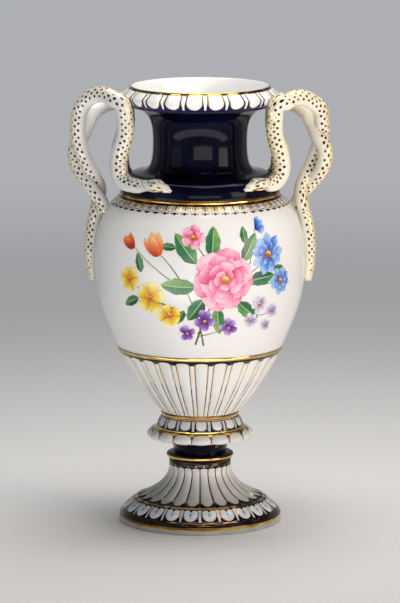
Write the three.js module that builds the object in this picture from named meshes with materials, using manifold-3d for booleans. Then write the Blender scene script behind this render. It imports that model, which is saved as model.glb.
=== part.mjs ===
// A porcelain vase with two handles, each a pair of intertwined snakes. It is built up from turned
// sections: a ribbed foot, a knop, a petalled collar, a fluted calyx, a plain belly, a waisted neck
// and a tongued lip. A rod with a nut under the foot clamps foot and vessel together.
// Millimetres, +Z up. The origin is the middle of the face that the vase stands on. The handles lie
// along X and the front faces -Y.
import * as THREE from 'three';
import { mergeVertices } from 'three/addons/utils/BufferGeometryUtils.js';
import Module from 'manifold-3d';

const wasm = await Module();
wasm.setup();

// Heights of the sections, from the ground up
const footHeight = 54;
const knopHeight = 18;
const collarHeight = 23;
const calyxHeight = 65;
const bellyHeight = 133;
const neckHeight = 79.5;
const lipHeight = 17.5;

// Foot
const baseRadius = 72;
const baseBandHeight = 8.5;
const ovoloRadius = 58.5;
const ovoloHeight = 11.8;
const stemRadius = 27.5;
const stemRingHeight = 6;
const footRingWidth = 6;
const footWebThickness = 14;
const footRibs = 24;
const ribGroove = 1.6;
const ribGrooveShare = 0.13;

// Knop between foot and collar
const beadRadius = 29.7;
const beadHeight = 7.5;
const scotiaRadius = 23.3;

// Collar of petals under the calyx
const petalDiscRadius = 47.2;
const petalDiscHeight = 12.5;
const petalUnderside = 3.5;
const petalCount = 16;
const petalScallop = 2.2;
const petalTurn = 1.8;

// Vessel
const calyxFootRadius = 33.8;
const calyxRingHeight = 4;
const calyxTopRadius = 71.2;
const calyxTongues = 26;
const calyxGroove = 1;
const calyxStripShare = 0.17;
const calyxTurn = -5.8;
const mouldingRadius = 73.6;
const mouldingHeight = 7;
const bellyRadius = 93.3;
const bellyMiddle = 81;
const shoulderRadius = 70.2;
const shoulderRise = 20;
const neckRingHeight = 3.6;
const neckRadius = 41.7;
const lipRadius = 69.3;
const rimRadius = 60.6;
const lipTongues = 22;
const lipGroove = 1.1;
const lipDartShare = 0.13;
const lipTurn = 3.9;
const wall = 5;
const calyxFloor = 8;

// Handles
const handleReach = 117.3;
const snakeRadius = 8;
const tailTipRadius = 4.2;
const tailDrop = 77;
const leftHeadTurn = 70;
const rightHeadTurn = 58;
const backHeadDrop = 6;
const leftCrownDrop = 6.2;
const rightCrownDrop = 8.8;

// Rod, nut and washers that clamp foot and vessel
const rodRadius = 4;
const rodHeadRadius = 10;
const rodHeadHeight = 5;
const rodBelowNut = 4;
const washerRadius = 12;
const washerThickness = 2;
const sealThickness = 1.5;
const nutRadius = 7.5;
const nutHeight = 6.5;

// Clearances: a bore round the rod, and the gap where one piece is shaped to sit on another
const boreClearance = 1;
const seatGap = 0.3;

// Faces round a turned piece, steps of a curve in a profile, and sides and steps of a snake
const turnedSides = 36;
const stemSides = 28;
const smallSides = 16;
const boreSides = 12;
const curveSteps = 3;
const cavitySteps = 2;
const snakeSides = 8;
const stepsPerPoint = 2;

const knopBottom = footHeight;
const collarBottom = knopBottom + knopHeight;
const calyxBottom = collarBottom + collarHeight;
const bellyBottom = calyxBottom + calyxHeight;
const shoulder = bellyBottom + bellyHeight;
const lipBottom = shoulder + neckHeight;
const rim = lipBottom + lipHeight;
const bellyWidest = bellyBottom + bellyMiddle;
const waist = shoulder + neckHeight * 0.6;
const webBottom = footHeight - footWebThickness;
const floorTop = calyxBottom + calyxFloor;
const boreRadius = rodRadius + boreClearance;

// Solids

function solidOf(geometry) {
  const bare = geometry.index ? geometry.toNonIndexed() : geometry.clone();
  bare.deleteAttribute('normal');
  bare.deleteAttribute('uv');
  const merged = mergeVertices(bare, 1e-4);
  const corners = merged.index.array;
  const kept = [];
  for (let i = 0; i < corners.length; i += 3) {
    const [a, b, c] = [corners[i], corners[i + 1], corners[i + 2]];
    if (a !== b && b !== c && c !== a) kept.push(a, b, c);
  }
  return new wasm.Manifold(new wasm.Mesh({
    numProp: 3,
    vertProperties: new Float32Array(merged.attributes.position.array),
    triVerts: new Uint32Array(kept),
  }));
}

function geometryOf(solid) {
  const mesh = solid.getMesh();
  const geometry = new THREE.BufferGeometry();
  geometry.setAttribute('position', new THREE.BufferAttribute(mesh.vertProperties, 3));
  geometry.setIndex(new THREE.BufferAttribute(mesh.triVerts, 1));
  geometry.computeVertexNormals();
  return geometry;
}

// A profile is a path of (radius, height) that climbs the outside, from the axis back to the axis.
const turned = (profile, sides = turnedSides, steps = curveSteps) => solidOf(
  new THREE.LatheGeometry(profile.getPoints(steps), sides).rotateX(Math.PI / 2));

const disc = (radius, bottom, height, sides = smallSides) => solidOf(
  new THREE.CylinderGeometry(radius, radius, height, sides)
    .rotateX(Math.PI / 2)
    .translate(0, 0, bottom + height / 2));

// Rings of points, each with the same number, skinned one to the next and closed at both ends.
function skinned(rings) {
  const sides = rings[0].length;
  const positions = rings.flat().flatMap((point) => [point.x, point.y, point.z]);
  const faces = [];
  for (let i = 0; i + 1 < rings.length; i += 1) {
    for (let j = 0; j < sides; j += 1) {
      const a = i * sides + j;
      const b = i * sides + (j + 1) % sides;
      faces.push(a, b, b + sides, a, b + sides, a + sides);
    }
  }
  const geometry = new THREE.BufferGeometry();
  geometry.setAttribute('position', new THREE.Float32BufferAttribute(positions, 3));
  geometry.setIndex(faces);
  return solidOf(geometry);
}

// A turned piece with a pattern cut round it: "count" repeats, each with a section at every one of
// "stations" (shares of a repeat), moved outwards by relief(station, height). The first repeat
// starts at "start" degrees from the front.
function patterned(profile, count, start, stations, relief) {
  const sections = [];
  for (let k = 0; k < count; k += 1) {
    for (const station of stations) {
      const angle = THREE.MathUtils.degToRad(start) + (k + station) * 2 * Math.PI / count;
      sections.push({ station, angle });
    }
  }
  return skinned(profile.getPoints(curveSteps).map(({ x: radius, y: height }) =>
    sections.map(({ station, angle }) => {
      const reach = radius > boreRadius ? radius + relief(station, height) : 0;
      return new THREE.Vector3(reach * Math.sin(angle), -reach * Math.cos(angle), height);
    })));
}

// 1 inside a band of heights and 0 outside it, with short ramps at its ends.
function band(height, low, high, ramp) {
  const rise = THREE.MathUtils.smoothstep(height, low, low + ramp);
  const fall = THREE.MathUtils.smoothstep(height, high - ramp, high);
  return rise * (1 - fall);
}

// Foot: a standing ring, an ovolo of tongues, and ribs that sweep up to the stem
const ovoloTop = baseBandHeight + ovoloHeight;
const ribTop = footHeight - stemRingHeight;
const footStations = [0, ribGrooveShare, 1 - ribGrooveShare];

function footProfile() {
  const profile = new THREE.Path();
  profile.moveTo(0, 0);
  profile.lineTo(baseRadius, 0);
  profile.lineTo(baseRadius, baseBandHeight * 0.6);
  profile.lineTo(baseRadius + 0.6, baseBandHeight * 0.75);
  profile.lineTo(baseRadius - 1, baseBandHeight);
  profile.quadraticCurveTo(
    baseRadius - 4.5, baseBandHeight + ovoloHeight / 2,
    ovoloRadius, ovoloTop);
  profile.lineTo(ovoloRadius - 3, ovoloTop + 1.4);
  profile.bezierCurveTo(
    ovoloRadius * 0.72, ovoloTop + 6.7,
    stemRadius + 1, THREE.MathUtils.lerp(ovoloTop, ribTop, 0.56),
    stemRadius, ribTop);
  profile.lineTo(stemRadius + 0.6, ribTop + 0.8);
  profile.lineTo(stemRadius, footHeight);
  profile.lineTo(0, footHeight);
  return profile;
}

function footHollow() {
  const mouth = baseRadius - footRingWidth;
  const profile = new THREE.Path();
  profile.moveTo(0, -1);
  profile.lineTo(mouth, -1);
  profile.lineTo(mouth - 1, baseBandHeight * 0.6);
  profile.bezierCurveTo(
    ovoloRadius - 1, ovoloTop - wall,
    stemRadius + wall, ovoloTop + wall / 2,
    stemRadius - wall + 1, webBottom - wall);
  profile.lineTo(stemRadius - wall - 2, webBottom);
  profile.lineTo(0, webBottom);
  return profile;
}

function footRelief(station, height) {
  const rib = band(height, ovoloTop + 0.2, ribTop + 0.4, 0.8);
  const tongue = band(height, baseBandHeight, ovoloTop + 0.2, 2);
  return station === 0 ? -ribGroove * (rib + tongue) : 0;
}

const rodBore = (bottom, top) => disc(boreRadius, bottom - 1, top - bottom + 2, boreSides);

const foot = patterned(footProfile(), footRibs, 0, footStations, footRelief)
  .subtract(turned(footHollow()))
  .subtract(rodBore(0, footHeight));

// Knop: a bead above a notch, then a hollow moulding that opens towards the collar
const notchRadius = stemRadius - 1.3;
const knopTopRadius = stemRadius - 1.5;

function knopProfile() {
  const beadBottom = knopBottom + 2;
  const beadTop = beadBottom + beadHeight;
  const profile = new THREE.Path();
  profile.moveTo(0, knopBottom);
  profile.lineTo(notchRadius, knopBottom);
  profile.lineTo(notchRadius, beadBottom);
  profile.quadraticCurveTo(beadRadius, beadBottom, beadRadius, beadBottom + beadHeight / 2);
  profile.quadraticCurveTo(beadRadius, beadTop, notchRadius, beadTop);
  profile.quadraticCurveTo(2 * scotiaRadius - notchRadius + 0.6, beadTop + 2,
    knopTopRadius, collarBottom);
  profile.lineTo(0, collarBottom);
  return profile;
}

const knop = turned(knopProfile(), stemSides).subtract(rodBore(knopBottom, collarBottom));

// Collar: a disc of broad petals with a smaller ring of petals standing on it
const petalStations = [0, 0.25, 0.5, 0.75];
const petalDiscTop = collarBottom + petalDiscHeight;

function collarProfile() {
  const innerRadius = petalDiscRadius - 8.7;
  const profile = new THREE.Path();
  profile.moveTo(0, collarBottom);
  profile.lineTo(knopTopRadius + 1, collarBottom);
  profile.lineTo(knopTopRadius + 1.5, collarBottom + 1.6);
  profile.lineTo(petalDiscRadius - 1.4, collarBottom + petalUnderside);
  profile.lineTo(petalDiscRadius, collarBottom + petalUnderside + 2);
  profile.quadraticCurveTo(petalDiscRadius, petalDiscTop - 2.2, innerRadius, petalDiscTop);
  profile.quadraticCurveTo(innerRadius, calyxBottom - 3.5, calyxFootRadius, calyxBottom);
  profile.lineTo(0, calyxBottom);
  return profile;
}

function petalRelief(station, height) {
  const notch = (1 - Math.sin(Math.PI * station)) ** 2;
  const broad = band(height, collarBottom, petalDiscTop, 3) * petalScallop;
  const small = band(height, petalDiscTop, calyxBottom, 2) * petalScallop / 2;
  return -notch * (broad + small);
}

const firstNotch = petalTurn - 180 / petalCount;
const collar = patterned(collarProfile(), petalCount, firstNotch, petalStations, petalRelief)
  .subtract(rodBore(collarBottom, calyxBottom));

// Vessel: the cavity runs from the calyx floor to the rim, one wall inside the outline
const calyxBendRadius = THREE.MathUtils.lerp(calyxFootRadius, calyxTopRadius, 0.6);
const calyxBendHeight = calyxBottom + calyxHeight * 0.43;

function cavityProfile() {
  const profile = new THREE.Path();
  profile.moveTo(0, floorTop);
  profile.lineTo(calyxFootRadius - wall, floorTop);
  profile.quadraticCurveTo(
    calyxBendRadius - wall, calyxBendHeight,
    calyxTopRadius - wall, bellyBottom - mouldingHeight + wall / 2);
  profile.bezierCurveTo(
    mouldingRadius - wall + 15, bellyBottom + bellyMiddle * 0.44,
    bellyRadius - wall, bellyWidest - bellyMiddle * 0.46,
    bellyRadius - wall, bellyWidest);
  profile.bezierCurveTo(
    bellyRadius - wall, bellyWidest + (bellyHeight - bellyMiddle) * 0.46,
    shoulderRadius + wall, shoulder - wall,
    shoulderRadius - wall * 1.2, shoulder + wall / 2);
  profile.quadraticCurveTo(
    shoulderRadius - wall * 1.4, shoulder + shoulderRise - wall * 1.6,
    shoulderRadius - 15, shoulder + shoulderRise - wall * 1.2);
  profile.bezierCurveTo(
    neckRadius - wall + 3, shoulder + shoulderRise - wall * 0.8,
    neckRadius - wall, shoulder + shoulderRise - wall / 2,
    neckRadius - wall, waist);
  profile.bezierCurveTo(
    neckRadius - wall, lipBottom - 4,
    rimRadius - 10, lipBottom + lipHeight * 0.4,
    rimRadius - 2, rim - 0.6);
  profile.lineTo(rimRadius - 2, rim + 1);
  profile.lineTo(0, rim + 1);
  return profile;
}

const cavity = turned(cavityProfile(), turnedSides, cavitySteps);

// Calyx: swelling tongues with narrow strips between them, under a moulding
const tongueTop = bellyBottom - mouldingHeight;
const calyxStations = [0, calyxStripShare, 0.5, 1 - calyxStripShare];

function calyxProfile() {
  const ringTop = calyxBottom + calyxRingHeight;
  const profile = new THREE.Path();
  profile.moveTo(0, calyxBottom);
  profile.lineTo(calyxFootRadius, calyxBottom);
  profile.lineTo(calyxFootRadius + 0.8, ringTop);
  profile.quadraticCurveTo(calyxBendRadius, calyxBendHeight, calyxTopRadius, tongueTop);
  profile.lineTo(mouldingRadius, bellyBottom - 3);
  profile.lineTo(mouldingRadius, bellyBottom);
  profile.lineTo(0, bellyBottom);
  return profile;
}

function calyxRelief(station, height) {
  const swell = station === 0.5 ? 1 : 0;
  const strip = station === 0 ? 0.5 : 0;
  const tongue = band(height, calyxBottom + calyxRingHeight, tongueTop + 0.5, 4);
  return calyxGroove * (swell + strip - 1) * tongue;
}

const calyx = patterned(calyxProfile(), calyxTongues, calyxTurn, calyxStations, calyxRelief)
  .subtract(cavity)
  .subtract(rodBore(calyxBottom, calyxBottom + calyxFloor));

// Belly: swells from the moulding and closes in to the shoulder
function bellyOutline(profile) {
  profile.lineTo(mouldingRadius + 0.4, bellyBottom);
  profile.bezierCurveTo(
    mouldingRadius + 15.5, bellyBottom + bellyMiddle * 0.44,
    bellyRadius, bellyWidest - bellyMiddle * 0.46,
    bellyRadius, bellyWidest);
  profile.bezierCurveTo(
    bellyRadius, bellyWidest + (bellyHeight - bellyMiddle) * 0.5,
    shoulderRadius + 14, shoulder - 8,
    shoulderRadius + 0.8, shoulder);
}

function bellyProfile() {
  const profile = new THREE.Path();
  profile.moveTo(0, bellyBottom);
  bellyOutline(profile);
  profile.lineTo(0, shoulder);
  return profile;
}

const belly = turned(bellyProfile()).subtract(cavity);

// Neck: a gilt ring and a round shoulder at its foot, then the waist and the flare under the lip
function neckOutline(profile) {
  const ringTop = shoulder + neckRingHeight;
  profile.lineTo(shoulderRadius, shoulder);
  profile.quadraticCurveTo(
    shoulderRadius + 1.4, shoulder + neckRingHeight / 2,
    shoulderRadius, ringTop);
  profile.quadraticCurveTo(
    shoulderRadius + 1.3, shoulder + shoulderRise - 4,
    shoulderRadius - 10, shoulder + shoulderRise);
  profile.bezierCurveTo(
    neckRadius + 5.3, shoulder + shoulderRise + 2,
    neckRadius, shoulder + shoulderRise + 0.5,
    neckRadius, waist);
  profile.bezierCurveTo(
    neckRadius, lipBottom - 15,
    neckRadius + 2.3, lipBottom - 5,
    lipRadius - 9.3, lipBottom);
}

function neckProfile() {
  const profile = new THREE.Path();
  profile.moveTo(0, shoulder);
  neckOutline(profile);
  profile.lineTo(0, lipBottom);
  return profile;
}

const neck = turned(neckProfile()).subtract(cavity);

// Lip: an ovolo of tongues with darts between them
const lipWidest = lipBottom + lipHeight * 0.57;
const lipStations = [0, lipDartShare, 1 - lipDartShare];

function lipOutline(profile) {
  profile.lineTo(lipRadius - 6.6, lipBottom);
  profile.lineTo(lipRadius - 5.8, lipBottom + 2);
  profile.quadraticCurveTo(lipRadius - 0.4, lipBottom + lipHeight * 0.2, lipRadius, lipWidest);
  profile.quadraticCurveTo(lipRadius - 2.2, rim - 5.1, rimRadius + 0.5, rim - 0.6);
  profile.lineTo(rimRadius, rim);
}

function lipProfile() {
  const profile = new THREE.Path();
  profile.moveTo(0, lipBottom);
  lipOutline(profile);
  profile.lineTo(0, rim);
  return profile;
}

function lipRelief(station, height) {
  const depth = station === 0 ? lipGroove / 2 : lipGroove / 3;
  return -depth * band(height, lipBottom + 1, rim - 1, 2.5);
}

const lip = patterned(lipProfile(), lipTongues, lipTurn, lipStations, lipRelief).subtract(cavity);

// The outside of belly, neck and lip, grown by the seat gap, shapes the snakes where they touch.
function vesselProfile() {
  const profile = new THREE.Path();
  profile.moveTo(0, bellyBottom);
  bellyOutline(profile);
  neckOutline(profile);
  lipOutline(profile);
  profile.lineTo(0, rim);
  return profile;
}

function grown(points, amount) {
  return points.map((point, i) => {
    const before = points[Math.max(i - 1, 0)];
    const after = points[Math.min(i + 1, points.length - 1)];
    const along = after.clone().sub(before).normalize();
    const reach = point.x > 0 ? point.x + along.y * amount : 0;
    return new THREE.Vector2(reach, point.y - along.x * amount);
  });
}

const outside = vesselProfile().getPoints(curveSteps);
const seat = solidOf(
  new THREE.LatheGeometry(grown(outside, seatGap), 2 * turnedSides).rotateX(Math.PI / 2));

function bellyRadiusAt(height) {
  const above = outside.findIndex((point) => point.x > 0 && point.y >= height);
  const [low, high] = [outside[above - 1], outside[above]];
  return THREE.MathUtils.mapLinear(height, low.y, high.y, low.x, high.x);
}

// Snakes. A route runs from snout to tail. Its rows are [across, depth, height, radius]: across is
// along X away from the vase, depth is along Y towards the side that the head lies on. Its offsets
// are counted in steps of an eighth of a snake's radius, so that they grow with the snake.
const step = snakeRadius / 8;
const aloft = (share) => THREE.MathUtils.lerp(shoulder, rim, share);

function polar(angle, radius, height, thickness) {
  const turn = THREE.MathUtils.degToRad(angle);
  return [radius * Math.cos(turn), radius * Math.sin(turn), height, thickness];
}

// The head lies on the shoulder and the body bends up beside the neck to the lip.
const headRoute = (headTurn, drop) => [
  polar(headTurn, shoulderRadius + 4.4 * step, shoulder + 12.5 * step - drop, snakeRadius * 0.22),
  polar(headTurn - 4, shoulderRadius + 3.8 * step, shoulder + 14.2 * step - drop,
    snakeRadius * 0.57),
  polar(headTurn - 12, shoulderRadius + 3.4 * step, shoulder + 16 * step - drop,
    snakeRadius * 0.81),
  polar(headTurn - 20, shoulderRadius + 3.4 * step, shoulder + 15.4 * step - drop,
    snakeRadius * 0.7),
  polar(THREE.MathUtils.lerp(headTurn, 27, 0.72), shoulderRadius + 4.2 * step,
    shoulder + 14.6 * step - drop, snakeRadius * 0.82),
  polar(28, shoulderRadius + 6.6 * step, shoulder + 18 * step - drop / 2, snakeRadius * 0.92),
  polar(25, shoulderRadius + 8.3 * step, aloft(0.27), snakeRadius),
  polar(24.2, shoulderRadius + 7.2 * step, aloft(0.4), snakeRadius * 0.98),
  polar(25.8, lipRadius + 3.4 * step, aloft(0.6), snakeRadius * 0.94),
  polar(26.6, lipRadius + 4 * step, lipBottom - 8 * step, snakeRadius * 0.91),
];

// The snake that lies outermost over the top: it ends as a tail on the side of the belly.
const outerRoute = (depths, crown) => [
  polar(26.2, lipRadius + 7 * step, lipBottom + 5 * step, snakeRadius * 0.9),
  polar(21.5, lipRadius + 11.6 * step, crown - 2.6 * step, snakeRadius * 0.9),
  [handleReach - 36.6 * step, depths[0] * step, crown, snakeRadius * 0.9],
  [handleReach - 27.2 * step, depths[1] * step, crown, snakeRadius * 0.9],
  [handleReach - 18.8 * step, depths[2] * step, crown - 4.5 * step, snakeRadius * 0.89],
  [handleReach - 12.6 * step, depths[3] * step, aloft(0.805), snakeRadius * 0.88],
  [handleReach - 10.2 * step, depths[4] * step, aloft(0.7), snakeRadius * 0.87],
  [handleReach - 9.9 * step, depths[5] * step, aloft(0.54), snakeRadius * 0.86],
  [handleReach - 13 * step, depths[6] * step, aloft(0.42), snakeRadius * 0.84],
  [handleReach - 18 * step, depths[7] * step, aloft(0.29), snakeRadius * 0.8],
  [handleReach - 25 * step, depths[8] * step, aloft(0.145), snakeRadius * 0.76],
  [handleReach - 28.6 * step, depths[9] * step, aloft(0.035), snakeRadius * 0.73],
  [handleReach - 27 * step, depths[10] * step, shoulder - 5 * step, snakeRadius * 0.73],
  ...tailRoute(depths[11] * step),
];

function tailRoute(depth) {
  const places = [[0.17, 8, 0.72], [0.35, 5, 0.72], [0.6, 3.9, 0.7], [0.82, 3.4, 0.65]];
  const rows = places.map(([drop, lift, share]) => {
    const height = shoulder - tailDrop * drop;
    return [bellyRadiusAt(height) + lift * step, depth, height, snakeRadius * share];
  });
  const tip = shoulder - tailDrop;
  const reach = bellyRadiusAt(tip) + tailTipRadius - 1.5 * step;
  return [
    ...rows,
    [reach, depth, tip + tailTipRadius / 2, tailTipRadius],
    [reach - step, depth, tip, tailTipRadius / 2],
  ];
}

// The snake that lies inside the first: it ends in the shoulder, at the foot of the handle.
const innerRoute = (depths) => [
  polar(30, lipRadius + 6.8 * step, lipBottom - 1.4 * step, snakeRadius * 0.9),
  [handleReach - 41 * step, 31 * step, lipBottom - 1.6 * step, snakeRadius * 0.88],
  [handleReach - 34 * step, depths[0] * step, lipBottom - 2.2 * step, snakeRadius * 0.87],
  [handleReach - 27.6 * step, depths[1] * step, lipBottom - 5 * step, snakeRadius * 0.86],
  [handleReach - 22.6 * step, depths[2] * step, aloft(0.73), snakeRadius * 0.85],
  [handleReach - 18 * step, depths[3] * step, aloft(0.64), snakeRadius * 0.85],
  [handleReach - 13 * step, depths[4] * step, aloft(0.53), snakeRadius * 0.85],
  [handleReach - 7.2 * step, depths[5] * step, aloft(0.41), snakeRadius * 0.85],
  [handleReach - 7.6 * step, depths[6] * step, aloft(0.31), snakeRadius * 0.84],
  [handleReach - 12 * step, depths[7] * step, aloft(0.2), snakeRadius * 0.8],
  [handleReach - 18.8 * step, depths[8] * step, aloft(0.1), snakeRadius * 0.76],
  [handleReach - 25.4 * step, depths[9] * step, aloft(0.01), snakeRadius * 0.74],
  [handleReach - 31 * step, depths[10] * step, shoulder - 7 * step, snakeRadius * 0.76],
  [bellyRadiusAt(shoulder - 15 * step), depths[11] * step, shoulder - 15 * step, snakeRadius * 0.9],
];

// Where the two cross, one list of depths, in steps, takes a snake over on its own side, the other
// under.
const outerOver = [25, 18, 13, 10, 9, 9.4, 9, 6.5, 0, -5.5, -6.5, -1];
const outerUnder = [25, 18, 12, 8, 4, -4.5, -8, -7, 0, 5.5, 6.5, 2];
const innerUnder = [23, 15, 10, 7.5, 7, 6, 3.5, -1, -5.5, -8, -7.5, -6];
const innerOver = [23, 14, 9, 5, -2.5, -7.5, -8, -3.5, 2.5, 6.5, 7, 6];

function snake(route, side, front) {
  const points = route.map(([x, y, z]) => new THREE.Vector3(side * x, front * y, z));
  const curve = new THREE.CatmullRomCurve3(points);
  const steps = (route.length - 1) * stepsPerPoint;
  const rings = [];
  const normal = new THREE.Vector3(0, 0, 1);
  for (let i = 0; i <= steps; i += 1) {
    const place = curve.getPoint(i / steps);
    const along = curve.getTangent(i / steps);
    normal.addScaledVector(along, -normal.dot(along)).normalize();
    const across = new THREE.Vector3().crossVectors(along, normal);
    const row = Math.min(Math.floor(i / stepsPerPoint), route.length - 2);
    const share = i / stepsPerPoint - row;
    const radius = THREE.MathUtils.lerp(route[row][3], route[row + 1][3], share);
    rings.push({ place, across, normal: normal.clone(), radius });
  }
  return rings;
}

function body(rings, growth = 0) {
  const sections = rings.map(({ place, across, normal, radius }) => {
    const points = [];
    for (let j = 0; j < snakeSides; j += 1) {
      const angle = -j * 2 * Math.PI / snakeSides;
      points.push(place.clone()
        .addScaledVector(across, (radius + growth) * Math.cos(angle))
        .addScaledVector(normal, (radius + growth) * Math.sin(angle)));
    }
    return points;
  });
  const end = (ring) => Array.from({ length: snakeSides }, () => ring.place.clone());
  return skinned([end(rings[0]), ...sections, end(rings[rings.length - 1])]);
}

function handlePair(side, headTurns, crown, outerDepths, innerDepths) {
  const outer = [...headRoute(headTurns.front, 0), ...outerRoute(outerDepths, crown)];
  const inner = [...headRoute(headTurns.back, backHeadDrop), ...innerRoute(innerDepths)];
  const outerRings = snake(outer, side, -1);
  const innerRings = snake(inner, side, 1);
  return {
    outer: body(outerRings).subtract(seat),
    inner: body(innerRings).subtract(seat).subtract(body(outerRings, seatGap)),
  };
}

const leftTurns = { front: leftHeadTurn, back: rightHeadTurn };
const rightTurns = { front: rightHeadTurn, back: leftHeadTurn };
const leftHandle = handlePair(-1, leftTurns, rim - leftCrownDrop, outerOver, innerUnder);
const rightHandle = handlePair(1, rightTurns, rim - rightCrownDrop, outerUnder, innerOver);

// Fixings, from the calyx floor down through foot and web
const innerWasherBottom = floorTop + sealThickness;
const headBottom = innerWasherBottom + washerThickness;
const footWasherTop = webBottom - sealThickness;
const nutTop = footWasherTop - washerThickness;
const rodBottom = nutTop - nutHeight - rodBelowNut;

const ringDisc = (radius, bottom, height, sides) =>
  disc(radius, bottom, height, sides)
    .subtract(disc(rodRadius + seatGap, bottom - 1, height + 2, boreSides));

const tieRod = disc(rodRadius, rodBottom, headBottom - rodBottom + 1, boreSides)
  .add(disc(rodHeadRadius, headBottom, rodHeadHeight));

// Materials
const finish = (color, roughness, metalness = 0) => () =>
  new THREE.MeshStandardMaterial({ color, roughness, metalness });
const porcelain = finish(0xf2f0ea, 0.12);
const cobalt = finish(0x0b0f2e, 0.08);
const brass = finish(0xb08d3c, 0.35, 1);
const leather = finish(0x6b4a2f, 0.8);

const pieces = [
  ['fluted_foot', foot, porcelain],
  ['stem_knop', knop, cobalt],
  ['petal_collar', collar, porcelain],
  ['fluted_calyx', calyx, porcelain],
  ['belly', belly, porcelain],
  ['neck', neck, cobalt],
  ['tongued_lip', lip, porcelain],
  ['snake_left_front', leftHandle.outer, porcelain],
  ['snake_left_back', leftHandle.inner, porcelain],
  ['snake_right_front', rightHandle.outer, porcelain],
  ['snake_right_back', rightHandle.inner, porcelain],
  ['tie_rod', tieRod, brass],
  ['inner_washer', ringDisc(washerRadius, innerWasherBottom, washerThickness), brass],
  ['inner_seal', ringDisc(washerRadius, floorTop, sealThickness), leather],
  ['foot_seal', ringDisc(washerRadius, footWasherTop, sealThickness), leather],
  ['foot_washer', ringDisc(washerRadius, nutTop, washerThickness), brass],
  ['fixing_nut', ringDisc(nutRadius, nutTop - nutHeight, nutHeight, 6), brass],
];

const vase = new THREE.Group();
for (const [name, solid, material] of pieces) {
  const mesh = new THREE.Mesh(geometryOf(solid), material());
  mesh.name = name;
  vase.add(mesh);
}

export default vase;
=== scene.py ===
# A porcelain vase with two handles of intertwined snakes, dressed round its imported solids
import bisect
import math
import random
import bpy
from mathutils import Matrix, Vector


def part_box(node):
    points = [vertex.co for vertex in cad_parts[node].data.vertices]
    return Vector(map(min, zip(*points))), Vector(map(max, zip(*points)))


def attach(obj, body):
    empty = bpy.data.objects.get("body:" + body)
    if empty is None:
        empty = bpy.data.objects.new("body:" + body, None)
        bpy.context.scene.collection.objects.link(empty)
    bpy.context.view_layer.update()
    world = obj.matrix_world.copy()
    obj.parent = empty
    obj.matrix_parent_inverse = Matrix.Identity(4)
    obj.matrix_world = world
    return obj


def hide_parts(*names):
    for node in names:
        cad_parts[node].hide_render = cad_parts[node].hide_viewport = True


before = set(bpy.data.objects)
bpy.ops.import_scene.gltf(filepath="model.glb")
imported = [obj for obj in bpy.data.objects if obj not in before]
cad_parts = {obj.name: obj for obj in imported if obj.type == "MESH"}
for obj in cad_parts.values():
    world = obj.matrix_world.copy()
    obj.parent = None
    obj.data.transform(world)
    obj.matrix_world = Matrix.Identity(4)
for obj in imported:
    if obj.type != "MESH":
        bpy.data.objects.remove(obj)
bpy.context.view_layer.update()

mm = 0.001
fullTurn = 2 * math.pi
creaseAngle = math.radians(42)


# Small helpers

def deselect():
    if bpy.context.object and bpy.context.object.mode != 'OBJECT':
        bpy.ops.object.mode_set(mode='OBJECT')
    bpy.ops.object.select_all(action='DESELECT')


def pick(piece):
    deselect()
    piece.select_set(True)
    bpy.context.view_layer.objects.active = piece


spans = {}


def span(node):             # lowest and highest point of a solid, in mm
    if node not in spans:
        low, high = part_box(node)
        spans[node] = (low.z / mm, high.z / mm)
    return spans[node]


def finishPiece(piece, *nodes):
    pick(piece)
    bpy.ops.object.shade_smooth_by_angle(angle=creaseAngle)
    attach(piece, 'root')
    if nodes:
        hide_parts(*nodes)


# Camera: looks down on the vase from the front, from the photograph's side

cameraSizes = {'distance': 3700, 'height': 835, 'lookDown': 9.788, 'lens': 252.3, 'sensor': 36, 'sight': 60}


def setCamera(sizes):
    place = (0, -sizes['distance'] * mm, sizes['height'] * mm)
    lean = math.radians(90 - sizes['lookDown'])
    bpy.ops.object.camera_add(location=place, rotation=(lean, 0, 0))
    camera = bpy.context.object
    camera.data.sensor_fit = 'VERTICAL'
    camera.data.sensor_height = sizes['sensor']
    camera.data.lens = sizes['lens']
    camera.data.clip_end = sizes['sight']
    bpy.context.scene.camera = camera


deselect()
setCamera(cameraSizes)
bpy.context.scene.view_settings.view_transform = 'Standard'
print('camera set')


# Nodes: makers for them, and numbers on their way through them

class Wire:                 # a number that a node gives, which adds and multiplies
    def __init__(self, tree, socket):
        self.tree = tree
        self.socket = socket

    def math(self, operation, *others):
        node = addNode(self.tree, 'Math', dict(enumerate((self, *others))), operation=operation)
        return Wire(self.tree, node.outputs[0])

    def __add__(self, other):
        return self.math('ADD', other)

    def __sub__(self, other):
        return self.math('SUBTRACT', other)

    def __mul__(self, other):
        return self.math('MULTIPLY', other)

    def __truediv__(self, other):
        return self.math('DIVIDE', other)

    def away(self):         # distance from 0
        return self.math('ABSOLUTE')

    def below(self, other):  # 1 where this is less than the other
        return self.math('LESS_THAN', other)

    def above(self, other):
        return self.math('GREATER_THAN', other)

    def most(self, other):
        return self.math('MAXIMUM', other)

    def least(self, other):
        return self.math('MINIMUM', other)

    def root(self):
        return self.math('SQRT')

    def fraction(self):
        return self.math('FRACT')

    def clamped(self):      # kept from 0 to 1
        return self.most(0).least(1)

    def between(self, low, high):
        return self.above(low) * self.below(high)

    def near(self, middle, reach):
        return (self - middle).away().below(reach)


def setSocket(tree, socket, value):     # what a node gives is linked, and a fixed value is set
    if isinstance(value, Wire):
        value = value.socket
    if isinstance(value, bpy.types.NodeSocket):
        tree.links.new(value, socket)
    else:
        socket.default_value = value


def addNode(tree, kind, inputs, **settings):
    node = tree.nodes.new('ShaderNode' + kind)
    for name, value in settings.items():
        setattr(node, name, value)
    for place, value in inputs.items():
        setSocket(tree, node.inputs[place], value)
    return node


def newMaterial(name):
    material = bpy.data.materials.new(name)
    material.use_nodes = True
    return material, material.node_tree, material.node_tree.nodes['Principled BSDF']


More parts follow.
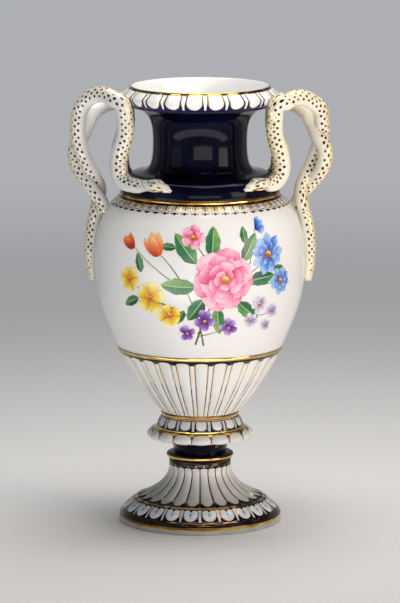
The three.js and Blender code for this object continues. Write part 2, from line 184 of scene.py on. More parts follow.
def coordinates(tree, kind='Object'):
    return addNode(tree, 'TexCoord', {}).outputs[kind]


def split(tree, vector):    # the three numbers of a vector
    parts = addNode(tree, 'SeparateXYZ', {0: vector})
    return [Wire(tree, socket) for socket in parts.outputs]


def length(a, b):
    return (a * a + b * b).root()


def noise(tree, scale, detail):
    texture = addNode(tree, 'TexNoise', {'Vector': coordinates(tree), 'Scale': scale, 'Detail': detail})
    return Wire(tree, texture.outputs['Fac'])


def ramp(wire, *stops):     # each stop is a place from 0 to 1 and a colour
    node = addNode(wire.tree, 'ValToRGB', {'Fac': wire})
    while len(node.color_ramp.elements) < len(stops):
        node.color_ramp.elements.new(0.5)
    for element, (place, colour) in zip(node.color_ramp.elements, stops):
        element.position = place
        element.color = (*colour, 1)
    return node.outputs['Color']


def blendColours(share, first, second):
    node = addNode(share.tree, 'Mix', {'Factor': share, 'A': first, 'B': second}, data_type='RGBA')
    return node.outputs['Result']


def roughen(tree, shader, height, strength, depth):     # depth in mm
    bump = addNode(tree, 'Bump', {'Strength': strength, 'Distance': depth * mm, 'Height': height})
    tree.links.new(bump.outputs[0], shader.inputs['Normal'])


# Lamps, backdrop and floor

# a lamp is its place, the point it faces, its width and height, its power and its colour
lamps = {
    'top': ((0.1, 0.1, 1.25), (0, 0, 0.2), (0.9, 0.9), 14, (1.0, 0.98, 0.95)),
    'right': ((2.4, -1.5, 0.6), (0, 0, 0.2), (1.2, 1.4), 31, (1.0, 0.85, 0.71)),
    'left': ((-2.2, -1.4, 0.6), (0, 0, 0.2), (1.2, 1.4), 3.5, (0.80, 0.90, 1.0)),
    'low': ((0.3, -2.4, 0.25), (0, 0, 0.2), (2.0, 0.5), 11, (1.0, 0.98, 0.95)),
    'bounce': ((0.1, -0.72, 0.012), (0.1, -0.71, 1), (2.8, 0.5), 15, (1.0, 0.98, 0.96)),
}
roomSizes = {
    'light': 0.11, 'backdrop': (0.42, 0.43, 0.45), 'backdropTo': 0.06,
    'ceiling': (0.08, 0.085, 0.10), 'ceilingFrom': 0.55,
}
floorSizes = {
    'size': 30, 'drop': 0.1, 'paper': (0.83, 0.83, 0.835), 'rough': 0.6, 'gloss': 0.2,
    'fadeFrom': 0.2, 'fadeTo': 2.2,
}


def setLamps(lamps):
    for name, (place, aim, size, power, colour) in lamps.items():
        turn = (Vector(aim) - Vector(place)).to_track_quat('-Z', 'Y').to_euler()
        bpy.ops.object.light_add(type='AREA', location=place, rotation=turn)
        light = bpy.context.object
        light.name = name + 'Lamp'
        light.data.shape = 'RECTANGLE'
        light.data.size, light.data.size_y = size
        light.data.energy = power
        light.data.color = colour
        light.visible_camera = False


def seenRays(tree):         # 1 for what is seen, straight or in a reflection, and 0 for what only lights
    path = addNode(tree, 'LightPath', {})
    seen = Wire(tree, path.outputs['Is Camera Ray'])
    for kind in ('Is Glossy Ray', 'Is Transmission Ray'):
        seen = seen.most(Wire(tree, path.outputs[kind]))
    return seen


def setRoom(sizes):         # pale near the floor and darker overhead
    world = bpy.data.worlds.new('room')
    bpy.context.scene.world = world
    world.use_nodes = True
    tree = world.node_tree
    ground = tree.nodes['Background']
    strength = addNode(tree, 'MapRange', {'Value': seenRays(tree), 'To Min': sizes['light'], 'To Max': 1})
    tree.links.new(strength.outputs['Result'], ground.inputs['Strength'])
    rise = split(tree, coordinates(tree, 'Generated'))[2]
    stops = (sizes['backdropTo'], sizes['backdrop']), (sizes['ceilingFrom'], sizes['ceiling'])
    tree.links.new(ramp(rise, *stops), ground.inputs['Color'])


def setFloor(sizes, backdrop):
    bpy.ops.mesh.primitive_plane_add(size=sizes['size'], location=(0, 0, -sizes['drop'] * mm))
    floor = bpy.context.object
    floor.name = 'floor'
    paper, tree, shader = newMaterial('floorPaper')
    shader.inputs['Base Color'].default_value = (*sizes['paper'], 1)
    shader.inputs['Roughness'].default_value = sizes['rough']
    shader.inputs['Specular IOR Level'].default_value = sizes['gloss']
    glow = addNode(tree, 'Emission', {'Color': (*backdrop, 1)})     # the floor fades into the backdrop
    distance = addNode(tree, 'VectorMath', {0: coordinates(tree)}, operation='LENGTH').outputs['Value']
    reach = {'Value': distance, 'From Min': sizes['fadeFrom'], 'From Max': sizes['fadeTo']}
    fade = addNode(tree, 'MapRange', reach, interpolation_type='SMOOTHSTEP')
    share = Wire(tree, fade.outputs['Result']) * seenRays(tree)
    mix = addNode(tree, 'MixShader', {'Fac': share, 1: shader.outputs[0], 2: glow.outputs[0]})
    tree.links.new(mix.outputs[0], tree.nodes['Material Output'].inputs['Surface'])
    floor.data.materials.append(paper)


setLamps(lamps)
setRoom(roomSizes)
setFloor(floorSizes, roomSizes['backdrop'])
print('room and lamps set')


# Finishes

# two near colours that drift into each other, metal from 0 to 1, two roughnesses, and how fine the drift is
finishes = {
    'white': ((0.80, 0.79, 0.765), (0.87, 0.862, 0.845), 0, (0.10, 0.17), 24),
    # 'shade' is the white glaze painted as it looks in shade
    'shade': ((0.34, 0.36, 0.38), (0.48, 0.49, 0.50), 0, (0.09, 0.15), 60),
    'grey': ((0.46, 0.50, 0.57), (0.66, 0.69, 0.73), 0, (0.10, 0.17), 90),
    'pearl': ((0.62, 0.66, 0.72), (0.80, 0.82, 0.84), 0, (0.10, 0.17), 90),
    'slate': ((0.16, 0.20, 0.30), (0.36, 0.42, 0.52), 0, (0.10, 0.17), 120),
    'gold': ((0.62, 0.33, 0.05), (1.0, 0.80, 0.29), 1, (0.08, 0.18), 70),
    'darkGold': ((0.03, 0.012, 0.004), (0.44, 0.21, 0.04), 1, (0.14, 0.30), 90),
    'olive': ((0.20, 0.14, 0.02), (0.50, 0.38, 0.08), 0.4, (0.2, 0.3), 200),
    'ink': ((0.008, 0.007, 0.010), (0.05, 0.028, 0.012), 0, (0.16, 0.28), 120),
    'cobalt': ((0.001, 0.001, 0.005), (0.0024, 0.0026, 0.015), 0, (0.05, 0.10), 40),
    # 'blue' is a lighter cobalt, used for a painted highlight
    'blue': ((0.004, 0.006, 0.05), (0.014, 0.02, 0.15), 0, (0.05, 0.10), 50),
    'belly': ((0.80, 0.79, 0.775), (0.85, 0.845, 0.835), 0, (0.13, 0.2), 9),
    'cream': ((0.66, 0.46, 0.15), (0.82, 0.70, 0.40), 0, (0.12, 0.2), 300),
    # the snakes' skins are one white porcelain, painted darker and cooler for shade and warmer for light
    'coolSnake': ((0.63, 0.62, 0.575), (0.75, 0.745, 0.73), 0, (0.12, 0.2), 26),
    'warmSnake': ((0.82, 0.72, 0.52), (0.86, 0.82, 0.73), 0, (0.12, 0.2), 26),
    'brass': ((0.50, 0.34, 0.11), (0.72, 0.55, 0.24), 1, (0.24, 0.42), 110),
    'leather': ((0.12, 0.06, 0.028), (0.30, 0.17, 0.08), 0, (0.55, 0.8), 260),
}
glazeSizes = {'driftFrom': 0.32, 'driftBy': 2.8, 'rippleScale': 70, 'rippleDepth': 0.3, 'refraction': 1.5}


def places(tree):           # turn from the front (1 is all the way round), radius and height in mm
    x, y, z = [part * (1 / mm) for part in split(tree, coordinates(tree))]
    turn = x.math('ARCTAN2', y * -1) * (1 / fullTurn)
    return turn, length(x, y), z


def blendNumbers(share, first, second):     # numbers or wires, and a number where both are the same
    if not isinstance(first, Wire) and first == second:
        return first
    return (share * -1 + 1) * first + share * second


def glazed(name, layers, ripple=0.05, gloss=0.4):   # layers gives the base finish, and masks with the others
    s = glazeSizes
    material, tree, shader = newMaterial(name)
    drifts = {}

    def look(finish):       # colour, roughness and metal
        first, second, metal, (low, high), scale = finishes[finish]
        if scale not in drifts:
            drifts[scale] = (noise(tree, scale, 3) - s['driftFrom']) * s['driftBy']
        rough = drifts[scale].clamped() * (high - low) + low
        return ramp(drifts[scale], (0, first), (1, second)), rough, metal

    base, rest = layers(*places(tree))
    colour, rough, metal = look(base)
    for mask, finish in rest:
        nextColour, nextRough, nextMetal = look(finish)
        colour = blendColours(mask, colour, nextColour)
        rough = blendNumbers(mask, rough, nextRough)
        metal = blendNumbers(mask, metal, nextMetal)
    tree.links.new(colour, shader.inputs['Base Color'])
    setSocket(tree, shader.inputs['Roughness'], rough)
    setSocket(tree, shader.inputs['Metallic'], metal)
    shader.inputs['IOR'].default_value = s['refraction']
    shader.inputs['Specular IOR Level'].default_value = gloss
    roughen(tree, shader, noise(tree, s['rippleScale'], 2), ripple, s['rippleDepth'])
    return material


def plain(finish):
    return lambda turn, radius, height: (finish, [])


insideGlaze = glazed('insideGlaze', plain('white'))
print('finishes ready')


# Painted patterns that several pieces share

def shareFrom(turn, count, degrees):  # 0 in the middle of each repeat and 1 halfway to the next
    cell = (turn * count + (0.5 - degrees * count / 360)).fraction() - 0.5
    return cell.away() * 2


def roundFoot(height, top, reach):  # 0 above the round foot of a tongue, and down to -1 at its lowest point
    return (height - top).least(0) / reach


def inside(shape, rows, where):     # outlines and fill of a shape, the widest first
    return [(shape.below(edge) * where, finish) for edge, finish in rows]


def beyond(shape, rows, where):
    return [(shape.above(edge) * where, finish) for edge, finish in rows]


def roundLines(height, low, high, rows):    # measured up from a piece's foot, or where negative from its top
    return [(height.near((low if at > 0 else high) + at, half), finish) for at, half, finish in rows]


def paintedGlints(tree, scale, start):    # soft-edged patches of painted reflection, where dark-painted gold shines bright
    return ((noise(tree, scale, 1) - start) * 9).clamped()


# Turning: an outline drawn as a curve beside the axis, spun all the way round

def drawn(outline, steps):
    # a row is a corner (radius, height), or a curve to one: (bend, end) or (first handle, second handle, end)
    bpy.ops.curve.primitive_bezier_curve_add()
    curve = bpy.context.object
    curve.data.resolution_u = steps
    corners = [row[-1] if isinstance(row[0], tuple) else row for row in outline]
    spline = curve.data.splines[0]
    spline.bezier_points.add(len(corners) - 2)
    points = spline.bezier_points
    for point, corner in zip(points, corners):
        point.co = (corner[0] * mm, 0, corner[1] * mm)
        point.handle_left_type = 'VECTOR'
        point.handle_right_type = 'VECTOR'
    for place, row in enumerate(outline):
        if row is corners[place]:
            continue
        handles = row[:-1]
        if len(handles) == 1:
            ends = corners[place - 1], corners[place]
            handles = [[a + (b - a) * 2 / 3 for a, b in zip(end, row[0])] for end in ends]
        before, here = points[place - 1], points[place]
        before.handle_right_type = 'FREE'
        before.handle_right = (handles[0][0] * mm, 0, handles[0][1] * mm)
        here.handle_left_type = 'FREE'
        here.handle_left = (handles[1][0] * mm, 0, handles[1][1] * mm)
    spline.use_cyclic_u = True
    return curve


def turned(name, node, outline, columns, steps, paint, depth=None):
    deselect()
    drawn(outline, steps).name = name
    bpy.ops.object.convert(target='MESH')
    bpy.ops.object.mode_set(mode='EDIT')
    bpy.ops.mesh.select_all(action='SELECT')
    bpy.ops.mesh.spin(steps=columns, angle=fullTurn, center=(0, 0, 0), axis=(0, 0, 1))
    bpy.ops.mesh.select_all(action='SELECT')
    bpy.ops.mesh.remove_doubles(threshold=0.001 * mm)
    bpy.ops.mesh.normals_make_consistent(inside=False)
    bpy.ops.object.mode_set(mode='OBJECT')
    piece = bpy.context.object
    if depth:
        carve(piece, depth)
    glazeInside(piece, paint)
    finishPiece(piece, node)
    print(name, 'made')


def carve(piece, depthAt):  # pushes the outside in along its normals, by depthAt(turn, radius, height) in mm
    pick(piece)
    group = piece.vertex_groups.new(name='carve')
    depths = {}
    for vertex in piece.data.vertices:
        if vertex.normal.x * vertex.co.x + vertex.normal.y * vertex.co.y > 0:
            turn = math.atan2(vertex.co.x, -vertex.co.y) / fullTurn
            radius = math.hypot(vertex.co.x, vertex.co.y) / mm
            depths[vertex.index] = depthAt(turn, radius, vertex.co.z / mm)
    deepest = max(depths.values())
    for index, depth in depths.items():
        if depth > 0:
            group.add([index], depth / deepest, 'REPLACE')
    push = piece.modifiers.new('carve', 'DISPLACE')
    push.vertex_group = 'carve'
    push.mid_level = 0
    push.strength = -deepest * mm
    bpy.ops.object.modifier_apply(modifier='carve')
    piece.vertex_groups.clear()


def glazeInside(piece, outside):    # whatever faces the axis, by more than a trace, gets the plain glaze
    trace = 0.02
    piece.data.materials.append(outside)
    piece.data.materials.append(insideGlaze)
    for face in piece.data.polygons:
        middle = face.center
        if face.normal.x * middle.x + face.normal.y * middle.y < -trace * math.hypot(middle.x, middle.y):
            face.material_index = 1


def cellShare(turn, count, degrees):  # the same repeats as shareFrom, for carving
    cell = (turn * count + 0.5 - degrees * count / 360) % 1 - 0.5
    return abs(cell) * 2


def smooth(value, low, high):
    share = min(max((value - low) / (high - low), 0), 1)
    return share * share * (3 - 2 * share)


def plateau(value, a, b, c, d):     # 0 up to a, 1 from b to c, and 0 again from d
    return smooth(value, a, b) * (1 - smooth(value, c, d))


def dome(share):            # how far a round back has fallen away, 0 in the middle and 1 at the edge
    return 1 - math.sqrt(max(1 - share * share, 0))


# Foot: 24 ribs that sweep up to the stem, over a ring of 24 heart-shaped tongues

footSizes = {
    'reach': 72, 'tongueReach': 58.5, 'stemReach': 27.5, 'ringWidth': 6, 'bore': 5, 'columns': 288,
    'count': 24, 'firstRib': 7.5, 'ribGroove': 1.5, 'tongueGroove': 0.8,
    'ribFade': (20.6, 22.6, 46, 49), 'tongueFade': (9.5, 11.5, 19, 20.4), 'baseBand': 3.6, 'goldBand': 5.7,
    'ring': (11, 19.7), 'tongueFoot': 11.6, 'tongueRound': 5.2, 'tongueTop': 19.1, 'heartShare': 0.74,
    'notchShare': 0.24, 'notchSlope': 9, 'vFoot': 13.4, 'vSlope': 0.055, 'vLine': 0.05, 'budAt': 16.6,
    'budReach': 1.2, 'dartSlope': 0.012, 'waveAt': 10.4, 'waveRise': 1.6, 'dotsAt': 24.2, 'dotReach': 0.75,
    'stemDotsAt': 52.1, 'stemDotReach': 0.42, 'ribFoot': 22.3, 'ribRound': 3.6, 'ribTop': 50.6,
    'ribTopRound': 1.2, 'ribShare': 0.87, 'shadeTop': 44, 'shadeShare': 0.75,
    'darts': ((0.87, 'darkGold'), (0.915, 'grey')), 'hearts': ((1.11, 'darkGold'), (1, 'pearl')),
    'ribs': ((1.11, 'darkGold'), (1.05, 'ink'), (1, 'white')),
    'lines': ((20.85, 0.34, 'gold'), (19.9, 0.2, 'darkGold'), (8.2, 0.28, 'darkGold')),
}


def paintFoot(turn, radius, height):
    s = footSizes
    share = shareFrom(turn, s['count'], s['firstRib'])
    drop = roundFoot(height, s['ribFoot'] + s['ribRound'], s['ribRound'])
    rise = (height - (s['ribTop'] - s['ribTopRound'])).most(0) / s['ribTopRound']
    rib = length(share / s['ribShare'], drop - rise)
    onRibs = height.above(s['ribFoot'] - 0.5)
    # painted shade: the white ribs grow darker towards their feet
    paintedRibShade = ((height * -1 + s['shadeTop']) / (s['shadeTop'] - s['ribFoot'])).clamped() * s['shadeShare']
    heartDrop = roundFoot(height, s['tongueFoot'] + s['tongueRound'], s['tongueRound'])
    notch = (share * -1 + s['notchShare']).most(0) * s['notchSlope']
    heart = length(share / s['heartShare'], heartDrop) + (height + notch - s['tongueTop']).most(0)
    vMark = (share - (height - s['vFoot']) * s['vSlope']).away().below(s['vLine'])
    bud = length(share * 9, height - s['budAt']).below(s['budReach'])
    dart = share + (height - s['tongueFoot']) * s['dartSlope']
    inRing = height.between(*s['ring'])
    return 'cobalt', [
        ((height + share * share * s['waveRise']).near(s['waveAt'], 0.32), 'darkGold'),
        *beyond(dart, s['darts'], inRing),
        *inside(heart, s['hearts'], inRing),
        (vMark * height.between(s['vFoot'] + 0.2, s['tongueTop']) * heart.below(0.9), 'grey'),
        (bud * heart.below(1), 'slate'),
        *inside(rib, s['ribs'], onRibs),
        (rib.below(1) * onRibs * paintedRibShade, 'shade'),
        (length((share - 1) * 6, height - s['dotsAt']).below(s['dotReach']), 'gold'),
        (length(share * 3.4, height - s['stemDotsAt']).below(s['stemDotReach']), 'gold'),
        *roundLines(height, 0, 0, s['lines']),
        # painted reflection: the gold band is dark gold, with bright gold only in patches
        (height.below(s['goldBand'] + 0.7), 'darkGold'),
        (height.below(s['goldBand'] + 0.4) * paintedGlints(turn.tree, 19, 0.45), 'gold'),
        (height.below(s['baseBand'] + 0.9), 'gold'),
        # painted shade: the white base band is given the shade finish
        (height.below(s['baseBand']), 'shade'),
    ]


def makeFoot():
    s = footSizes
    top = span('fluted_foot')[1]
    reach, stem = s['reach'], s['stemReach']
    mouth = reach - s['ringWidth']
    outline = [
        (mouth, 0), (reach - 0.6, 0), (reach, 0.6), (reach, 5.1),
        ((reach + 0.9, 6.6), (reach - 1, 8.5)),
        ((reach - 4.5, 14.4), (s['tongueReach'], 20.3)),
        (s['tongueReach'] - 3, 21.7),
        ((42.1, 27), (stem + 1, 35.8), (stem, 48)),
        ((stem + 0.5, 51), (stem, top)),
        (s['bore'], top), (s['bore'], 40), (stem - 7, 40), (stem - 4, 35),
        ((32.5, 22.8), (57.5, 15.3), (mouth - 1, 5.1)),
    ]

    def depth(turn, radius, height):
        share = cellShare(turn, s['count'], s['firstRib'])
        heartDrop = min(height - (s['tongueFoot'] + s['tongueRound']), 0) / s['tongueRound']
        beside = smooth(math.hypot(share / s['heartShare'], heartDrop), 0.8, 1.15)
        ribs = s['ribGroove'] * plateau(height, *s['ribFade']) * dome(share)
        return ribs + s['tongueGroove'] * plateau(height, *s['tongueFade']) * beside

    turned('foot', 'fluted_foot', outline, s['columns'], 14, glazed('footPaint', paintFoot), depth)


makeFoot()


# Knop: a bead with a gold band round it, and a hollow moulding under the collar

knopSizes = {
    'notch': 26.2, 'bead': 30, 'beadFoot': 2, 'beadHeight': 6, 'scotia': 23.3, 'top': 26, 'bore': 5,
    'columns': 160,
    'band': ((4.9, 1.45, 'darkGold'), (4.75, 0.66, 'gold')), 'footLine': ((0.5, 0.3, 'darkGold'),),
}


def paintKnop(turn, radius, height):
    low, high = span('stem_knop')
    return 'cobalt', [
        *roundLines(height, low, high, knopSizes['band']),
        (noise(turn.tree, 60, 2).above(0.62) * height.above(high - 5), 'darkGold'),
        *roundLines(height, low, high, knopSizes['footLine']),
    ]


def makeKnop():
    s = knopSizes
    low, high = span('stem_knop')
    foot, crown = low + s['beadFoot'], low + s['beadFoot'] + s['beadHeight']
    middle = (foot + crown) / 2
    outline = [
        (s['bore'], low), (s['notch'], low), (s['notch'], foot),
        ((s['bead'], foot), (s['bead'], middle)),
        ((s['bead'], crown), (s['scotia'], crown + 0.3)),
        ((s['scotia'], crown + 3.4), (s['top'], high)),
        (s['bore'], high),
    ]
    turned('knop', 'stem_knop', outline, s['columns'], 10, glazed('knopPaint', paintKnop, 0.03, 0.14))


makeKnop()


# Collar: 16 broad petals, and a ring of 16 small tongues standing on them

collarSizes = {
    'foot': 27, 'reach': 47.2, 'underside': 3.2, 'edgeAt': 6, 'shelf': 38.5, 'shelfAt': 12.5, 'top': 33.8,
    'bore': 5, 'columns': 256, 'count': 16, 'firstPetal': 1.8, 'petalGroove': 2.4, 'tongueGroove': 1.1,
    'petalEdge': 41.9, 'petalArch': 2.6, 'edgeLine': 0.25, 'lineShare': 0.05, 'goldTo': 13.3,
    'tongueFoot': 15.2, 'tongueRound': 2.6, 'tongueShare': 0.62, 'dartSlope': 0.01,
    'darts': ((0.8, 'ink'), (0.87, 'grey')), 'tongues': ((1.2, 'ink'), (1.08, 'darkGold'), (1, 'pearl')),
}


def paintCollar(turn, radius, height):
    s = collarSizes
    low, high = span('petal_collar')
    share = shareFrom(turn, s['count'], s['firstPetal'])
    onTop = height.above(low + s['edgeAt'] + 0.5)
    edge = radius * onTop * -1 + (share * share * share * s['petalArch'] + s['petalEdge']) * onTop
    foot = low + s['tongueFoot']
    tongue = length(share / s['tongueShare'], roundFoot(height, foot + s['tongueRound'], s['tongueRound']))
    upper = height.above(foot - 1.1)
    dart = share + (height - foot) * s['dartSlope']
    return 'white', [
        (share.above(1 - s['lineShare']), 'ink'),
        (edge.near(0, s['edgeLine']) * onTop, 'darkGold'),
        (edge.above(0) * onTop * edge.above(s['edgeLine']), 'gold'),
        (height.above(low + s['goldTo']) * onTop, 'cobalt'),
        *beyond(dart, s['darts'], upper),
        *inside(tongue, s['tongues'], upper),
        (height.above(high - 0.8), 'darkGold'),
    ]


def makeCollar():
    s = collarSizes
    low, high = span('petal_collar')
    under, shelfAt = low + s['underside'], low + s['shelfAt']
    outline = [
        (s['bore'], low), (s['foot'], low), (s['foot'] + 0.4, low + 1.6), (s['reach'] - 3, under),
        ((s['reach'] - 0.2, under + 0.2), (s['reach'], low + s['edgeAt'])),
        ((s['reach'], shelfAt - 2.2), (s['shelf'], shelfAt)),
        ((s['shelf'], high - 3.5), (s['top'], high)),
        (s['bore'], high),
    ]

    def depth(turn, radius, height):
        share = cellShare(turn, s['count'], s['firstPetal'])
        notch = (1 - math.cos(math.pi * share / 2)) ** 2
        broad = plateau(height, low + 1.6, low + 4, shelfAt - 3, shelfAt)
        small = plateau(height, shelfAt + 1, shelfAt + 3, high - 2, high)
        return notch * (broad * s['petalGroove'] + small * s['tongueGroove'])

    turned('collar', 'petal_collar', outline, s['columns'], 14, glazed('collarPaint', paintCollar), depth)


makeCollar()


# Calyx: 26 swelling tongues with narrow strips between double lines, under a gilt moulding

calyxSizes = {
    'foot': 33.8, 'ring': 4, 'bend': (56.24, 27.95), 'top': 71.2, 'moulding': 73.6, 'mouldingHeight': 7,
    'wall': 5, 'floor': 8, 'bore': 5, 'columns': 312, 'count': 26, 'firstStrip': -5.8, 'stripShare': 0.34,
    'groove': 1.0, 'lineOff': 1.6, 'lineTop': 0.58, 'lineFoot': 0.32, 'inkEdge': 0.06, 'goldTo': 12,
    'fleckFrom': 20, 'goldFrom': 36, 'scallopAt': 6.2, 'scallopDrop': 3.0, 'stripDrop': 1.0, 'stripAt': 2.6,
    'lines': ((-3.2, 1.2, 'gold'), (-1.55, 0.32, 'ink'), (2.3, 1.9, 'darkGold'), (4.0, 0.4, 'ink'),
              (1.9, 0.6, 'gold')),
}


def paintCalyx(turn, radius, height):
    s = calyxSizes
    low, high = span('fluted_calyx')
    share = shareFrom(turn, s['count'], s['firstStrip'])
    across = share * radius * (math.pi / s['count'])
    rise = (height - low) / (high - low)
    half = rise * (s['lineTop'] - s['lineFoot']) + s['lineFoot']
    line = (across - (rise + s['lineOff'])).away() - half
    tongueBand = height.between(low + s['ring'], high - s['scallopAt'])
    side = share * -1 + 1
    drop = side * side * -s['scallopDrop'] - across.near(s['stripAt'], 0.55) * s['stripDrop']
    scallop = height - (drop + high - s['scallopAt'])
    underMoulding = height.below(high - 4.2)
    fleck = noise(turn.tree, 55, 2).above(0.56)
    gilt = height.above(low + s['goldFrom']) + fleck * height.above(low + s['fleckFrom'])
    return 'white', [
        (line.below(0) * tongueBand, 'ink'),
        (line.below(s['inkEdge']) * tongueBand * (gilt + height.below(low + s['goldTo'])).least(1), 'gold'),
        (scallop.above(0) * underMoulding, 'cobalt'),
        (scallop.near(0, 0.22) * underMoulding, 'darkGold'),
        *roundLines(height, low, high, s['lines']),
    ]


def makeCalyx():
    s = calyxSizes
    low, high = span('fluted_calyx')
    foot, top, wall, moulding = s['foot'], s['top'], s['wall'], s['moulding']
    bend = (s['bend'][0], low + s['bend'][1])
    floor, ringTop, tongueTop = low + s['floor'], low + s['ring'], high - s['mouldingHeight']
    outline = [
        (s['bore'], low), (foot, low),
        ((foot + 1.2, low + s['ring'] / 2), (foot + 0.8, ringTop)),
        (bend, (top, tongueTop)),
        ((moulding - 0.4, high - 6), (moulding, high - 3.4)),
        (moulding, high - 0.6), (moulding - 0.5, high), (moulding - wall + 0.4, high),
        (top - wall, tongueTop + wall / 2),
        ((bend[0] - wall, bend[1]), (foot - wall, floor)),
        (s['bore'], floor),
    ]

    def depth(turn, radius, height):
        if radius <= foot - 1:
            return 0
        share = cellShare(turn, s['count'], s['firstStrip'])
        if share < s['stripShare']:
            fall = 1 - 0.5 * (1 - (share / s['stripShare']) ** 2)
        else:
            fall = dome(1 - (share - s['stripShare']) / (1 - s['stripShare']))
        return s['groove'] * fall * plateau(height, ringTop, ringTop + 4, high - 10, high - 6.5)

    turned('calyx', 'fluted_calyx', outline, s['columns'], 14, glazed('calyxPaint', paintCalyx), depth)


makeCalyx()


# Belly: the plain white swell, with a narrow painted band round the shoulder

bellySizes = {
    'foot': 74, 'reach': 93.3, 'widestAt': 81, 'top': 71, 'wall': 5, 'columns': 200, 'bandCount': 55,
    'bandEdge': 77.2, 'bandArch': 1.5, 'edgeLine': 0.28, 'topLine': 1.2, 'leafShare': 0.5, 'leafHalf': 0.14,
    'gapShare': 0.84, 'fillFrom': 0.56, 'dashAt': 78.4, 'dashHalf': 0.42, 'dashFrom': 0.18, 'crossReach': 0.9,
}


def bellyOutline(s, low, high, shrink=0):  # from the moulding up to the shoulder, as two curves
    foot, reach, top = s['foot'] - shrink, s['reach'] - shrink, s['top'] - shrink
    widest = low + s['widestAt']
    return [
        ((foot + 15.1, low + 35.6), (reach, widest - 37.3), (reach, widest)),
        ((reach, widest + 26), (top + 13.2, high - 8), (top, high)),
    ]


def paintBelly(turn, radius, height):
    s = bellySizes
    tree, top, edge = turn.tree, s['top'], s['bandEdge']
    onTop = height.above(span('belly')[1] - 20)
    share = shareFrom(turn, s['bandCount'], 0)
    tongue = radius - (share * share * -s['bandArch'] + edge)
    inTongue = tongue.below(0)
    sway = (noise(tree, 240, 2) - 0.5) * 0.5
    leaf = (share + sway - s['leafShare']).away().below(s['leafHalf']) * radius.between(top + 1.5, edge - 1.6)
    middle = share.below(s['leafHalf']) * radius.between(top + 2.5, edge - 2.6)
    fromDash = radius - s['dashAt']
    return 'belly', [
        (inTongue * onTop * noise(tree, 130, 2).above(s['fillFrom']), 'cream'),
        (tongue.near(0, s['edgeLine']) * onTop, 'darkGold'),
        (share.above(s['gapShare']) * inTongue * onTop, 'ink'),
        (leaf * onTop, 'olive'),
        (middle * onTop, 'gold'),
        (fromDash.away().below(s['dashHalf']) * share.above(s['dashFrom']) * onTop, 'ink'),
        (length((share - 1) * 3.3, fromDash * 0.72).below(s['crossReach']) * onTop, 'ink'),
        (radius.below(top + s['topLine']) * onTop, 'darkGold'),
    ]


def makeBelly():
    s = bellySizes
    low, high = span('belly')
    foot, top, wall = s['foot'], s['top'], s['wall']
    lower, upper = bellyOutline(s, low, high, wall)
    outline = [
        (foot, low), *bellyOutline(s, low, high), (top - wall, high),
        (upper[1], upper[0], lower[2]),     # the inside, from the shoulder back down
        (lower[1], lower[0], (foot - wall, low)),
    ]
    turned('bellyShell', 'belly', outline, s['columns'], 22, glazed('bellyPaint', paintBelly, 0.03))


makeBelly()


# Neck: cobalt, over a gilt ring

neckSizes = {
    'shoulder': 70.2, 'ring': 3.6, 'rise': 20, 'waist': 41.7, 'waistAt': 47.7, 'top': 60, 'columns': 200,
    'boreTop': 45.9, 'boreWaist': 36.7, 'shine': (1.6, 2.3),
}


def paintNeck(turn, radius, height):
    low = span('neck')[0]
    ring = low + neckSizes['ring']
    first, last = neckSizes['shine']
    return 'cobalt', [
        (height.below(ring + 0.5), 'ink'),
        # the gilt ring is painted dark gold, with a painted highlight line (shine) and patches of painted
        # reflection
        (height.below(ring - 0.1), 'darkGold'),
        (height.between(low + 0.9, ring - 0.5) * paintedGlints(turn.tree, 16, 0.5), 'gold'),
        (height.between(low + first, low + last), 'gold'),
    ]


def makeNeck():
    s = neckSizes
    low, high = span('neck')
    shoulder, waist, bore = s['shoulder'], s['waist'], s['boreWaist']
    ring, ledge, narrow = low + s['ring'], low + s['rise'], low + s['waistAt']
    outline = [
        (shoulder - 5, low), (shoulder, low),
        ((shoulder + 1.6, low + s['ring'] / 2), (shoulder - 0.2, ring)),
        ((shoulder + 1.3, ledge - 4), (shoulder - 10, ledge)),
        ((waist + 5.3, ledge + 2), (waist, ledge + 0.5), (waist, narrow)),
        ((waist, high - 15), (waist + 2.3, high - 5), (s['top'], high)),
        (s['boreTop'], high),
        ((s['boreTop'] - 3.9, high - 8), (bore, narrow + 14), (bore, narrow)),
        ((bore, ledge - 2.5), (bore + 3, ledge - 4), (shoulder - 15, ledge - 6)),
        ((shoulder - 7, ledge - 8), (shoulder - 6, low + 2.5)),
    ]
    turned('neckShell', 'neck', outline, s['columns'], 14, glazed('neckPaint', paintNeck, 0.02, 0.1))


makeNeck()


# Lip: 22 tongues with darts between them, and a gilt line along the rim

lipSizes = {
    'reach': 69.3, 'rim': 60.6, 'bore': 45.9, 'widestAt': 0.57, 'columns': 264, 'count': 22,
    'firstTongue': 3.9 + 180 / 22, 'tongueShare': 0.66, 'groove': 0.9, 'roundAt': 8.5, 'roundHeight': 5.2,
    'dartFoot': 0.04, 'dartTop': 0.2, 'dartLine': 0.07, 'edge': 3.2, 'rimLine': 2.1,
    'tongues': ((1.15, 'ink'), (1.0675, 'darkGold'), (1, 'white')),
}


def paintLip(turn, radius, height):
    s = lipSizes
    low, high = span('tongued_lip')
    share = shareFrom(turn, s['count'], s['firstTongue'])
    tongue = length(share / s['tongueShare'], roundFoot(height, low + s['roundAt'], s['roundHeight']))
    rise = (height - low) / (high - low)
    dart = share + rise * s['dartTop'] + (s['dartFoot'] - 1)
    body = height.above(low + s['edge'])
    rim = high - s['rimLine']
    return 'cobalt', [
        # painted highlight: a lighter cobalt band along the lower edge
        (height.between(low + 1.6, low + s['edge'] + 0.6), 'blue'),
        (dart.above(-s['dartLine']) * body * rise.above(0.4), 'ink'),
        (dart.above(0) * body, 'white'),
        *inside(tongue, s['tongues'], body),
        # painted reflection: the rim's gold is dark gold, with bright gold only in patches
        (height.above(rim), 'darkGold'),
        (height.above(rim + 0.7) * paintedGlints(turn.tree, 17, 0.47), 'gold'),
        (radius.below(s['rim'] - 1.1), 'white'),
    ]


